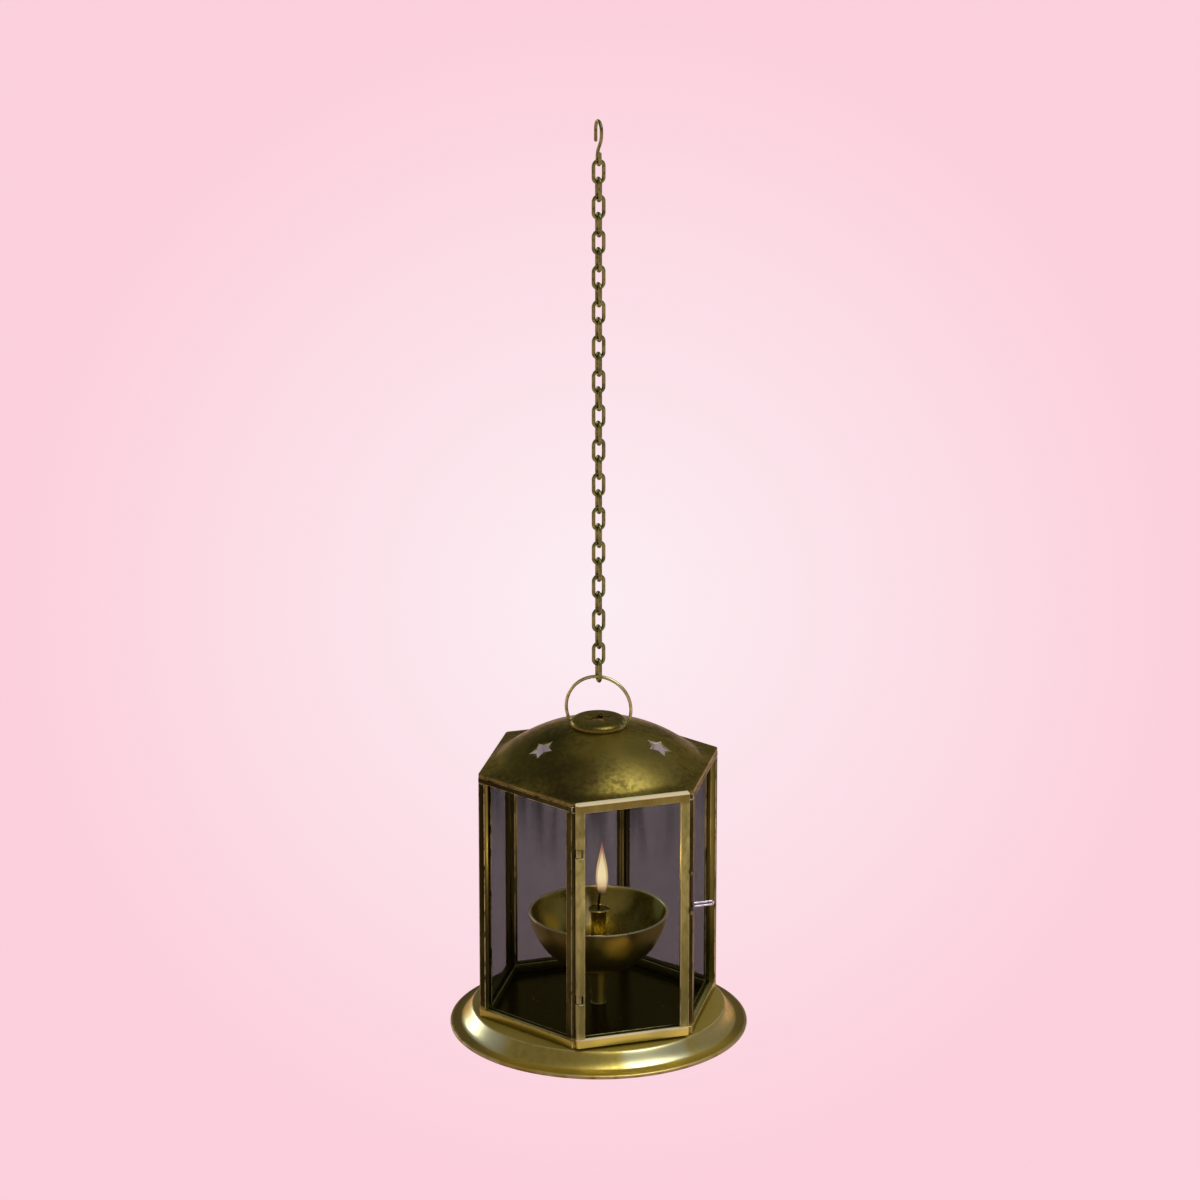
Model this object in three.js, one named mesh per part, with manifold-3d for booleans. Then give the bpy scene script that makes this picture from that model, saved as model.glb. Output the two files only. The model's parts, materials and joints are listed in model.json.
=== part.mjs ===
// Hanging hexagonal brass oil-lamp lantern: hook, thirty-link chain, wire bail, domed roof, six-sided
// glazed frame with a hinged overlay door and a wire latch, spun base and a footed lamp bowl inside.
// Millimetres, +Z up. The origin is the top of the hook's eye, where the lantern hangs.
// The door faces -Y, so two corners of the hexagon lie on the X axis.
import * as THREE from 'three';
import { mergeVertices } from 'three/addons/utils/BufferGeometryUtils.js';
import Module from 'manifold-3d';

const wasm = await Module();
wasm.setup();

// Clearances
const seatGap = 0.3;
const wireGap = 0.32;
const overCut = 1.0;

// Hanging hook, bent from wire in the YZ plane
const hookWire = 2.0;
const hookTopRadius = 5.4;
const hookLowRadius = 2.5;
const hookDrop = 18.0;
const hookTopTip = 8.0;
const hookLowTip = 5.4;

// Chain
const linkCount = 30;
const linkWire = 2.2;
const linkWidth = 8.4;
const linkInner = 10.8;
const linkBendSteps = 6;

// Bail
const bailWire = 2.0;
const bailRadius = 19.6;
const bailRise = 28.05;
const bailSeat = 0.5;
const bailNeck = 4.4;
const bailTailIn = 1.6;
const bailTailOut = 0.2;
const bailHoleClear = 0.35;
const bailAngle = -30;

// Crown cap
const capHeight = 4.2;
const capWall = 0.9;
const capClear = 2.8;
const capShoulder = 4.6;
const capShoulderDrop = 3.0;
const capShoulderSteps = 3;
const capStarOuter = 7.8;
const capStarInner = 3.3;
const capHoleHeight = 2.0;

// Hexagonal body
const hexRadius = 75;
const bodyHeight = 155.3;
const paneThick = 1.8;
const paneBite = 0.75;
const paneDepth = 3.2;
const postFlange = 4.7;
const postWall = 0.9;
const postLip = 0.8;
const postNose = 0.5;
const topRailHeight = 3.4;
const lowRailHeight = 5.0;
const grooveDepth = 2.6;

// Roof
const roofSheet = 0.9;
const hemHeight = 1.8;
const domeInset = 2.4;
const domeHeight = 24.2;
const domeLip = 1.5;
const domeLipRise = 0.35;
const ventRadius = 9.5;
const starRing = 40;
const starOuter = 7.0;
const starInner = 3.5;
const starCutDepth = 8;
const starAngles = [-45, -165, 75];

// Base
const baseSheet = 1.2;
const baseFlat = 1.2;
const baseHeight = 12.6;
const baseCreaseHeight = 3.4;
const baseFlare = 6.4;
const baseRim = 7.0;
const beadHeight = 2.6;
const beadRound = 0.78;
const beadRoot = 2.08;
const baseRound = 0.6;
const skirtBulge = 4.2;
const screwHole = 2.0;

// Door
const doorGap = 0.4;
const doorThick = 4.4;
const doorLeftMargin = 1.3;
const doorRightMargin = 3.9;
const doorTop = 0.4;
const doorLift = 1.9;
const stileWidth = 5.2;
const railWidth = 5.4;
const rebateBite = 1.2;
const rebateDepth = 2.2;
const pinRadius = 0.7;
const pinClear = 0.25;
const pinInset = 0.6;
const eyeWall = 0.9;
const eyeHeight = 5.0;
const eyeNeck = 1.8;
const eyePlaces = [0.2, 0.8];

// Latch
const latchWire = 1.2;
const latchReach = 14.0;
const latchPitch = 2.1;
const latchUpperLeg = 24;
const latchLowerLeg = 6;
const latchPlace = 0.45;
const latchInset = 2.5;
const latchStand = 0.4;
const latchBend = 1.0;
const latchEyeHeight = 2.4;
const latchEyeClear = 0.2;
const latchEyeWall = 0.45;
const latchEyeNeck = 1.9;
const latchEyeUpperInset = 4.0;
const latchEyeLowerInset = 1.2;

// Lamp
const bowlRimRadius = 42;
const bowlRimHeight = 59.4;
const bowlRimDrop = 4.1037;
const bowlWall = 1.6;
const stemRadius = 4.4;
const stemFlare = 5.0;
const stemFoot = 0.5;
const stemCurve = 2.4;
const stemFootHeight = 1.3;
const tubeRadius = 4.6;
const tubeWall = 0.9;
const tubeDisc = 6.6;
const tubeRise = 1.2;
const tubeDiscThick = 0.9;
const tubeDiscCone = 0.7;
const tubeDiscLip = 0.6;
const tubeDiscDish = 0.5;
const tubeLid = 1.0;
const wickClear = 0.3;
const wickRadius = 0.85;
const wickAbove = 10.5;
const wickBelow = 22;
const screwShank = 1.6;
const screwHead = 4.2;
const screwHeadHeight = 2.2;
const screwBevel = 1.2;
const screwBite = 11;
const screwClear = 0.3;
const screwEndGap = 1.0;

const antique = { color: 0x6f5e2c, roughness: 0.4, metalness: 1.0 };
const bright = { color: 0x9c8a48, roughness: 0.32, metalness: 1.0 };
const steel = { color: 0xd6d8dc, roughness: 0.2, metalness: 1.0 };
const glass = { color: 0x8d8390, roughness: 0.05, metalness: 0.0, transparent: true, opacity: 0.6 };
const cotton = { color: 0x2a2018, roughness: 0.9, metalness: 0.0 };

const radians = THREE.MathUtils.degToRad;

function weld(geometry) {
  const bare = geometry.clone();
  bare.deleteAttribute('normal');
  bare.deleteAttribute('uv');
  return mergeVertices(bare, 1e-4);
}

function toSolid(geometry) {
  const welded = weld(geometry);
  const vertProperties = new Float32Array(welded.attributes.position.array);
  const triVerts = new Uint32Array(welded.index.array);
  return new wasm.Manifold(new wasm.Mesh({ numProp: 3, vertProperties, triVerts }));
}

function fromSolid(solid) {
  const mesh = solid.getMesh();
  const geometry = new THREE.BufferGeometry();
  geometry.setAttribute('position', new THREE.BufferAttribute(new Float32Array(mesh.vertProperties), 3));
  geometry.setIndex(new THREE.BufferAttribute(new Uint32Array(mesh.triVerts), 1));
  const flat = geometry.toNonIndexed();
  flat.computeVertexNormals();
  return flat;
}

function join(...geometries) {
  let solid = toSolid(geometries[0]);
  for (const next of geometries.slice(1)) {
    solid = solid.add(toSolid(next));
  }
  return fromSolid(solid);
}

function cut(geometry, ...tools) {
  let solid = toSolid(geometry);
  for (const tool of tools) {
    solid = solid.subtract(toSolid(tool));
  }
  return fromSolid(solid);
}

function polygon(points) {
  return new THREE.Shape(points.map(([x, y]) => new THREE.Vector2(x, y)));
}

function regular(sides, radius, turn = 0) {
  const points = [];
  for (let k = 0; k < sides; k += 1) {
    const angle = turn + (2 * Math.PI * k) / sides;
    points.push([radius * Math.cos(angle), radius * Math.sin(angle)]);
  }
  return points;
}

function star(outer, inner) {
  const points = [];
  for (let k = 0; k < 10; k += 1) {
    const angle = Math.PI / 2 + (Math.PI * k) / 5;
    const radius = k % 2 === 0 ? outer : inner;
    points.push([radius * Math.cos(angle), radius * Math.sin(angle)]);
  }
  return polygon(points);
}

function prism(shape, low, high) {
  const settings = { depth: high - low, bevelEnabled: false, curveSegments: 16 };
  const geometry = new THREE.ExtrudeGeometry(shape, settings);
  geometry.translate(0, 0, low);
  return geometry;
}

// A shape drawn in X and Z, thickened from y = front towards y = back
function panel(shape, front, back) {
  const settings = { depth: back - front, bevelEnabled: false, curveSegments: 8 };
  const geometry = new THREE.ExtrudeGeometry(shape, settings);
  geometry.rotateX(Math.PI / 2);
  geometry.translate(0, back, 0);
  return geometry;
}

function rect(x0, z0, x1, z1) {
  return polygon([[x0, z0], [x1, z0], [x1, z1], [x0, z1]]);
}

// Twice the signed area of a closed profile: positive when it runs anticlockwise
function winding(profile) {
  return profile.reduce((sum, [r, z], k) => {
    const [nextR, nextZ] = profile[(k + 1) % profile.length];
    return sum + r * nextZ - nextR * z;
  }, 0);
}

// A ring or solid of revolution about Z, from a profile of [radius, height] pairs in either order
function turned(profile, segments) {
  const ordered = winding(profile) > 0 ? profile : [...profile].reverse();
  const points = ordered.map(([r, z]) => new THREE.Vector2(r, z));
  const geometry = new THREE.LatheGeometry(points, segments);
  geometry.rotateX(Math.PI / 2);
  return geometry;
}

// A hexagonal ring: profile distances are measured square to the sides
function hexRing(profile) {
  const widen = 1 / Math.cos(Math.PI / 6);
  const closed = [...profile, profile[0]].map(([n, z]) => [n * widen, z]);
  const geometry = turned(closed, 6);
  geometry.rotateZ(Math.PI / 2);
  return geometry;
}

function wire(curve, diameter, sides, steps) {
  const section = polygon(regular(sides, diameter / 2, Math.PI / sides));
  return new THREE.ExtrudeGeometry(section, { steps, bevelEnabled: false, extrudePath: curve });
}

function rod(radius, low, high, sides) {
  const geometry = new THREE.CylinderGeometry(radius, radius, high - low, sides);
  geometry.rotateX(Math.PI / 2);
  geometry.translate(0, 0, (low + high) / 2);
  return geometry;
}

// A run of line and arc pieces in one plane, sampled evenly
class Route extends THREE.CurvePath {
  constructor(place) {
    super();
    this.place = place;
    this.pen = null;
  }

  start(u, v) {
    this.pen = [u, v];
    return this;
  }

  line(u, v) {
    this.add(new THREE.LineCurve3(this.place(...this.pen), this.place(u, v)));
    this.pen = [u, v];
    return this;
  }

  bend(cu, cv, radius, from, to) {
    const points = [];
    const count = Math.max(4, Math.ceil(Math.abs(to - from) / 15));
    for (let k = 0; k <= count; k += 1) {
      const angle = radians(from + ((to - from) * k) / count);
      points.push(this.place(cu + radius * Math.cos(angle), cv + radius * Math.sin(angle)));
    }
    for (let k = 0; k < count; k += 1) {
      this.add(new THREE.LineCurve3(points[k], points[k + 1]));
    }
    this.pen = [cu + radius * Math.cos(radians(to)), cv + radius * Math.sin(radians(to))];
    return this;
  }

  sweep(c1, c2, end) {
    const points = [this.pen, c1, c2, end].map(([u, v]) => this.place(u, v));
    this.add(new THREE.CubicBezierCurve3(...points));
    this.pen = end;
    return this;
  }
}

const object = new THREE.Group();

function piece(parent, name, geometry, look) {
  const mesh = new THREE.Mesh(geometry, new THREE.MeshStandardMaterial(look));
  mesh.name = name;
  parent.add(mesh);
  return mesh;
}

// Hanging hook: an open eye at the top, a crossing shank and a nearly closed lower eye
const hookTopZ = hookWire / 2 - hookTopRadius;
const hookLowZ = hookTopZ - hookDrop;
const hookRoute = new Route((y, z) => new THREE.Vector3(0, y, z))
  .start(hookTopRadius, hookTopZ - hookTopTip)
  .line(hookTopRadius, hookTopZ)
  .bend(0, hookTopZ, hookTopRadius, 0, 180)
  .sweep(
    [-hookTopRadius, hookTopZ - hookDrop / 2],
    [hookLowRadius, hookLowZ + hookDrop / 2],
    [hookLowRadius, hookLowZ],
  )
  .bend(0, hookLowZ, hookLowRadius, 0, -180)
  .line(-hookLowRadius, hookLowZ + hookLowTip);
piece(object, 'hanging_hook', wire(hookRoute, hookWire, 8, 36), antique);

// Chain: oval welded links, each a quarter turn from the last
const linkBend = (linkWidth - linkWire) / 2;
const linkHalf = (linkInner + linkWire) / 2 - linkBend;
const linkPitch = linkInner - wireGap;

// A link's centre line: two half circles joined by straight sides
class Oval extends THREE.Curve {
  station(t) {
    const around = 2 * (linkBendSteps + 1);
    const k = Math.round(t * around) % around;
    const lower = k > linkBendSteps;
    const step = lower ? k - linkBendSteps - 1 : k;
    return { lower, angle: (step * Math.PI) / linkBendSteps + (lower ? Math.PI : 0) };
  }

  getPointAt(t) {
    const { lower, angle } = this.station(t);
    const lift = lower ? -linkHalf : linkHalf;
    return new THREE.Vector3(linkBend * Math.cos(angle), 0, lift + linkBend * Math.sin(angle));
  }

  getTangentAt(t) {
    const { angle } = this.station(t);
    return new THREE.Vector3(-Math.sin(angle), 0, Math.cos(angle));
  }
}

const linkSteps = 2 * (linkBendSteps + 1);
const linkTube = new THREE.TubeGeometry(new Oval(), linkSteps, linkWire / 2, 6, true);
const linkShape = weld(linkTube).toNonIndexed();
linkShape.computeVertexNormals();
const hookLowWireZ = hookLowZ - hookLowRadius;
const firstLinkZ = hookLowWireZ + (hookWire + linkWire) / 2 + wireGap - (linkInner + linkWire) / 2;
for (let k = 0; k < linkCount; k += 1) {
  const link = piece(object, `chain_link_${String(k + 1).padStart(2, '0')}`, linkShape.clone(), antique);
  link.position.z = firstLinkZ - k * linkPitch;
  link.rotation.z = k % 2 === 0 ? 0 : Math.PI / 2;
}
const lastLinkZ = firstLinkZ - (linkCount - 1) * linkPitch;

// Bail: a round wire arch whose ends turn in through the crown cap
const bailTopZ = lastLinkZ - linkInner / 2 + bailSeat + bailWire / 2;
const bailAxisZ = bailTopZ - bailRise;
const capRadius = bailRadius - capClear;
const bailTurn = new THREE.Group();
bailTurn.position.z = bailAxisZ;
bailTurn.rotation.z = radians(bailAngle);
object.add(bailTurn);
const bailCentre = bailRise - bailRadius;
const bailEnd = -Math.asin((bailCentre - bailNeck) / bailRadius);
const endU = bailRadius * Math.cos(bailEnd);
const crossU = endU + bailNeck * Math.tan(bailEnd);
const tailU = capRadius + bailTailOut;
const tailTip = capRadius - capWall - bailTailIn;
const bailRoute = new Route((u, v) => new THREE.Vector3(u, 0, v))
  .start(tailTip, 0)
  .line(tailU, 0)
  .sweep(
    [tailU + (2 / 3) * (crossU - tailU), 0],
    [crossU + (endU - crossU) / 3, bailNeck / 3],
    [endU, bailNeck],
  )
  .bend(0, bailCentre, bailRadius, THREE.MathUtils.radToDeg(bailEnd), 180 - THREE.MathUtils.radToDeg(bailEnd))
  .sweep(
    [-crossU - (endU - crossU) / 3, bailNeck / 3],
    [-tailU - (2 / 3) * (crossU - tailU), 0],
    [-tailU, 0],
  )
  .line(-tailTip, 0);
piece(bailTurn, 'bail', wire(bailRoute, bailWire, 8, 36), bright);

// Roof: a spun dome on a hexagonal plate with a turned-down hem, and star vents cut through the dome
const apothem = hexRadius * Math.cos(Math.PI / 6);
const side = hexRadius;
const domeRadius = apothem - domeInset;
const sphere = (domeRadius ** 2 + domeHeight ** 2) / (2 * domeHeight);
const domeAt = (r) => Math.sqrt(sphere ** 2 - r ** 2) - (sphere - domeHeight);
const capSeat = domeAt(capRadius) + seatGap;
const eaveZ = bailAxisZ - capSeat - capHoleHeight;

const lantern = new THREE.Group();
lantern.position.z = eaveZ;
object.add(lantern);

const domeRun = (steps, outerRadius, drop) => {
  const points = [];
  for (let k = 0; k <= steps; k += 1) {
    const r = ventRadius + ((outerRadius - ventRadius) * k) / steps;
    points.push([r, domeAt(r) - drop]);
  }
  return points;
};
const domeProfile = [
  ...domeRun(8, domeRadius - domeLip / 2, 0),
  [domeRadius + domeLip / 3, domeLipRise],
  [domeRadius + domeLip, 0],
  [domeRadius + domeLip, -roofSheet],
  [domeRadius - roofSheet, -roofSheet],
  ...domeRun(5, domeRadius - 2 * roofSheet, roofSheet).reverse(),
];
domeProfile.push(domeProfile[0]);
const dome = turned(domeProfile, 36);
const eave = polygon(regular(6, hexRadius));
eave.holes.push(new THREE.Path(regular(36, domeRadius).map(([x, y]) => new THREE.Vector2(x, y))));
const eavePlate = prism(eave, -roofSheet, 0);
const hemRing = hexRing([
  [apothem, 0],
  [apothem - roofSheet, 0],
  [apothem - roofSheet, -hemHeight],
  [apothem, -hemHeight],
]);
const roofStars = starAngles.map((degrees) => {
  const cutter = prism(star(starOuter, starInner), -starCutDepth, starCutDepth);
  cutter.rotateZ(Math.PI / 2);
  cutter.rotateY(Math.asin(starRing / sphere));
  cutter.translate(starRing, 0, domeAt(starRing));
  cutter.rotateZ(radians(degrees));
  return cutter;
});
piece(lantern, 'roof', cut(join(eavePlate, hemRing, dome), ...roofStars), antique);

// Crown cap: a spun cup with a round shoulder over the vent hole, with a star in its top and two bail holes
const capTurn = new THREE.Group();
capTurn.position.z = capSeat;
capTurn.rotation.z = radians(bailAngle);
lantern.add(capTurn);
const shoulder = (inset) => {
  const points = [];
  for (let k = 0; k <= capShoulderSteps; k += 1) {
    const angle = (Math.PI / 2) * (k / capShoulderSteps);
    const r = capRadius - capShoulder + (capShoulder - inset) * Math.sin(angle);
    points.push([r, capHeight - capShoulderDrop + (capShoulderDrop - inset) * Math.cos(angle)]);
  }
  return points;
};
const capCup = turned(
  [
    [0, capHeight],
    [0, capHeight - capWall],
    ...shoulder(capWall),
    [capRadius - capWall, 0],
    [capRadius, 0],
    ...shoulder(0).reverse(),
    [0, capHeight],
  ],
  28,
);
const capStar = prism(star(capStarOuter, capStarInner), 0, capHeight + overCut);
const bailHoleRadius = bailWire / 2 + bailHoleClear;
const bailHole = new THREE.CylinderGeometry(bailHoleRadius, bailHoleRadius, 3 * capRadius, 12);
bailHole.rotateZ(Math.PI / 2);
bailHole.translate(0, 0, capHoleHeight);
piece(capTurn, 'crown_cap', cut(capCup, capStar, bailHole), antique);

// Frame: a grooved rail under the roof, another on the floor, and six folded corner posts between them
const paneSlot = paneDepth + paneThick + 2 * seatGap;
const frameDepth = paneSlot + postLip;
const topRailLow = -hemHeight - seatGap - topRailHeight;
const topGroove = topRailLow + grooveDepth;
piece(
  lantern,
  'top_rail',
  hexRing([
    [apothem, topRailLow],
    [apothem, -hemHeight - seatGap],
    [apothem - roofSheet - seatGap, -hemHeight - seatGap],
    [apothem - roofSheet - seatGap, -roofSheet - seatGap],
    [apothem - frameDepth, -roofSheet - seatGap],
    [apothem - frameDepth, topRailLow],
    [apothem - paneSlot, topRailLow],
    [apothem - paneSlot, topGroove],
    [apothem - paneDepth, topGroove],
    [apothem - paneDepth, topRailLow],
  ]),
  antique,
);

const floorZ = -bodyHeight;
const lowRailLow = floorZ + seatGap;
const lowRailTop = lowRailLow + lowRailHeight;
const lowGroove = lowRailTop - grooveDepth;
piece(
  lantern,
  'bottom_rail',
  hexRing([
    [apothem, lowRailLow],
    [apothem, lowRailTop],
    [apothem - paneDepth, lowRailTop],
    [apothem - paneDepth, lowGroove],
    [apothem - paneSlot, lowGroove],
    [apothem - paneSlot, lowRailTop],
    [apothem - frameDepth, lowRailTop],
    [apothem - frameDepth, lowRailLow],
  ]),
  antique,
);

// Post section: s runs from the corner along a side, n inward from that side
const along = (s, n) => [-s / 2 - n * Math.cos(Math.PI / 6), s * Math.cos(Math.PI / 6) - n / 2];
const mirror = ([x, y]) => [x, -y];
const mitre = (n) => along(n * Math.tan(Math.PI / 6), n);
const slotEdge = postFlange - paneBite - seatGap;
const half = [
  along(postNose, 0),
  along(postFlange, 0),
  along(postFlange, paneDepth),
  along(slotEdge, paneDepth),
  along(slotEdge, paneSlot),
  along(postFlange, paneSlot),
  along(postFlange, frameDepth),
];
const postShape = polygon([...half.map(mirror).reverse(), ...half, mitre(frameDepth)].reverse());
const hollow = [along(postFlange - postWall, postWall), along(postFlange - postWall, paneDepth - postWall)];
const bore = [
  mitre(postWall),
  ...hollow,
  mitre(paneDepth - postWall),
  ...hollow.map(mirror).reverse(),
];
postShape.holes.push(new THREE.Path(bore.map(([x, y]) => new THREE.Vector2(x, y))));
const postHigh = topRailLow - seatGap;
const postLow = lowRailTop + seatGap;
const corners = ['right', 'back_right', 'back_left', 'left', 'front_left', 'front_right'];
corners.forEach((corner, k) => {
  const post = piece(lantern, `post_${corner}`, prism(postShape, postLow, postHigh), antique);
  const angle = (k * Math.PI) / 3;
  post.position.set(hexRadius * Math.cos(angle), hexRadius * Math.sin(angle), 0);
  post.rotation.z = angle;
});

// Fixed panes, one in each side but the door's
const paneHalf = side / 2 - (postFlange - paneBite);
const paneLow = lowGroove + seatGap;
const paneHigh = topGroove - seatGap;
const paneFront = -apothem + paneDepth + seatGap;
const sides = ['front_right', 'back_right', 'back', 'back_left', 'front_left'];
sides.forEach((name, k) => {
  const pane = panel(rect(-paneHalf, paneLow, paneHalf, paneHigh), paneFront, paneFront + paneThick);
  piece(lantern, `pane_${name}`, pane, glass).rotation.z = ((k + 1) * Math.PI) / 3;
});

// Base: a spun pan with a rolled rim, a flared skirt and a flat floor that the frame stands on
const flatRadius = hexRadius + baseFlat;
const creaseRadius = flatRadius + baseFlare;
const rimRadius = creaseRadius + baseRim;
const baseZ = floorZ - baseHeight;
piece(
  lantern,
  'base_pan',
  turned(
    [
      [screwHole, floorZ],
      [screwHole, floorZ - baseSheet],
      [flatRadius - baseSheet, floorZ - baseSheet],
      [creaseRadius - baseSheet, baseZ + baseCreaseHeight - baseSheet],
      [rimRadius - beadHeight, baseZ + beadHeight - baseSheet],
      [rimRadius - beadHeight, baseZ],
      [rimRadius - beadRound, baseZ],
      [rimRadius, baseZ + beadRound],
      [rimRadius, baseZ + beadHeight - beadRound],
      [rimRadius - beadRound, baseZ + beadHeight],
      [rimRadius - beadRoot, baseZ + beadHeight],
      [creaseRadius, baseZ + baseCreaseHeight],
      [creaseRadius - baseFlare / 2, baseZ + baseCreaseHeight + skirtBulge],
      [flatRadius + baseRound * 0.6, floorZ - baseRound * 0.8],
      [flatRadius - baseRound, floorZ],
      [screwHole, floorZ],
    ],
    48,
  ),
  bright,
);

// Door: a proud frame over the front opening, turning on a pin inside its round left edge
const doorBack = -apothem - doorGap;
const doorFront = doorBack - doorThick;
const doorLeft = -side / 2 + doorLeftMargin;
const doorRight = side / 2 - doorRightMargin;
const doorLow = floorZ + doorLift;
const edgeRadius = doorThick / 2;
const pinX = doorLeft + edgeRadius;
const pinY = doorBack - edgeRadius;
const stileShape = new THREE.Shape();
stileShape.moveTo(pinX, doorBack);
stileShape.absarc(pinX, pinY, edgeRadius, Math.PI / 2, (3 * Math.PI) / 2, false);
stileShape.lineTo(pinX + overCut, doorFront);
stileShape.lineTo(pinX + overCut, doorBack);
const roundStile = prism(stileShape, doorLow, doorTop);
const leaf = rect(pinX, doorLow, doorRight, doorTop);
const window0 = [doorLeft + stileWidth, doorLow + railWidth];
const window1 = [doorRight - stileWidth, doorTop - railWidth];
leaf.holes.push(
  new THREE.Path([
    new THREE.Vector2(window0[0], window0[1]),
    new THREE.Vector2(window0[0], window1[1]),
    new THREE.Vector2(window1[0], window1[1]),
    new THREE.Vector2(window1[0], window0[1]),
  ]),
);
const leafSolid = panel(leaf, doorFront, doorBack);
const rebate = panel(
  rect(window0[0] - rebateBite, window0[1] - rebateBite, window1[0] + rebateBite, window1[1] + rebateBite),
  doorBack - rebateDepth,
  doorBack + overCut,
);
const pinBore = rod(pinRadius + pinClear, doorLow - overCut, doorTop + overCut, 12);
pinBore.translate(pinX, pinY, 0);
const eyeRadius = pinRadius + pinClear + eyeWall;
const eyeCentres = eyePlaces.map((share) => doorLow + share * (doorTop - doorLow));
const notches = eyeCentres.map((z) => {
  const low = z - eyeHeight / 2 - seatGap;
  const high = z + eyeHeight / 2 + seatGap;
  const notch = rect(doorLeft - overCut, low, pinX + eyeRadius + seatGap, high);
  return panel(notch, doorFront - overCut, doorBack + overCut);
});
piece(lantern, 'door_frame', cut(join(roundStile, leafSolid), rebate, pinBore, ...notches), bright);

const glassSlack = rebateBite - seatGap;
const doorPane = panel(
  rect(window0[0] - glassSlack, window0[1] - glassSlack, window1[0] + glassSlack, window1[1] + glassSlack),
  doorBack - rebateDepth + seatGap,
  doorBack - rebateDepth + seatGap + paneThick,
);
piece(lantern, 'door_pane', doorPane, glass);

const pin = rod(pinRadius, doorLow + pinInset, doorTop - pinInset, 10);
piece(lantern, 'hinge_pin', pin, steel).position.set(pinX, pinY, 0);

// Hinge eyes: knuckles on the left front post that carry the pin
const eyeNames = ['hinge_eye_lower', 'hinge_eye_upper'];
eyeCentres.forEach((z, k) => {
  const barrel = rod(eyeRadius, -eyeHeight / 2, eyeHeight / 2, 16);
  const neckShape = rect(-eyeNeck / 2, 0, eyeNeck / 2, -apothem - seatGap - pinY);
  const neck = prism(neckShape, -eyeHeight / 2, eyeHeight / 2);
  const through = rod(pinRadius + pinClear, -eyeHeight, eyeHeight, 12);
  piece(lantern, eyeNames[k], cut(join(barrel, neck), through), bright).position.set(pinX, pinY, z);
});

// Latch: one bent wire that turns in two eyes beside the door and swings across its right stile
const latchX = side / 2 - latchInset;
const latchY = doorFront - latchStand - latchWire / 2;
const latchZ = floorZ + (1 - latchPlace) * bodyHeight;
const reach = latchReach - latchPitch / 2 - latchWire / 2;
const latchRoute = new Route((u, v) => new THREE.Vector3(u, 0, v))
  .start(0, latchUpperLeg)
  .line(0, latchPitch / 2 + latchBend)
  .bend(latchBend, latchPitch / 2 + latchBend, latchBend, 180, 270)
  .line(reach, latchPitch / 2)
  .bend(reach, 0, latchPitch / 2, 90, -90)
  .line(latchBend, -latchPitch / 2)
  .bend(latchBend, -latchPitch / 2 - latchBend, latchBend, 90, 180)
  .line(0, -latchLowerLeg);
piece(lantern, 'latch', wire(latchRoute, latchWire, 6, 46), steel).position.set(latchX, latchY, latchZ);

const latchEyeBore = latchWire / 2 + latchEyeClear;
const latchEyeRadius = latchEyeBore + latchEyeWall;
const latchEyes = {
  latch_eye_upper: latchUpperLeg - latchEyeUpperInset,
  latch_eye_lower: latchEyeLowerInset - latchLowerLeg,
};
for (const [name, height] of Object.entries(latchEyes)) {
  const ring = rod(latchEyeRadius, -latchEyeHeight / 2, latchEyeHeight / 2, 16);
  const arm = rect(-latchEyeNeck / 2, 0, latchEyeNeck / 2, -apothem - seatGap - latchY);
  const armSolid = prism(arm, -latchEyeHeight / 2, latchEyeHeight / 2);
  const hole = rod(latchEyeBore, -latchEyeHeight, latchEyeHeight, 12);
  piece(lantern, name, cut(join(ring, armSolid), hole), bright).position.set(latchX, latchY, latchZ + height);
}

// Lamp: a spun bowl on a waisted stem, screwed to the floor from below
const lamp = new THREE.Group();
lamp.position.z = floorZ + seatGap;
lantern.add(lamp);
const bowlCentre = bowlRimHeight + bowlRimDrop;
const bowlSphere = Math.hypot(bowlRimRadius, bowlRimDrop);
const innerSphere = bowlSphere - bowlWall;
const innerRim = Math.sqrt(innerSphere ** 2 - (bowlCentre - bowlRimHeight) ** 2);
const sphereLow = (radius, r) => bowlCentre - Math.sqrt(radius ** 2 - r ** 2);
const bowlProfile = [];
const bowlSteps = 7;
for (let k = 0; k <= bowlSteps; k += 1) {
  const share = Math.sin((k / bowlSteps) * (Math.PI / 2));
  const r = innerRim * share;
  bowlProfile.push([r, k === bowlSteps ? bowlRimHeight : sphereLow(innerSphere, r)]);
}
const neckRadius = stemRadius + stemFlare;
for (let k = bowlSteps; k >= 1; k -= 1) {
  const share = Math.sin((k / bowlSteps) * (Math.PI / 2));
  const r = neckRadius + (bowlRimRadius - neckRadius) * share;
  bowlProfile.push([r, k === bowlSteps ? bowlRimHeight : sphereLow(bowlSphere, r)]);
}
const neckZ = sphereLow(bowlSphere, neckRadius);
for (let k = 0; k <= 4; k += 1) {
  const share = k / 4;
  const height = neckZ + (stemFootHeight - neckZ) * share;
  bowlProfile.push([stemRadius + stemFlare * (1 - share) ** stemCurve, height]);
}
bowlProfile.push([stemRadius + stemFoot, 0]);
bowlProfile.push([screwShank + screwClear, 0]);
bowlProfile.push([screwShank + screwClear, screwBite]);
bowlProfile.push([0, screwBite]);
piece(lamp, 'lamp_bowl', turned(bowlProfile, 32), bright);

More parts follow.
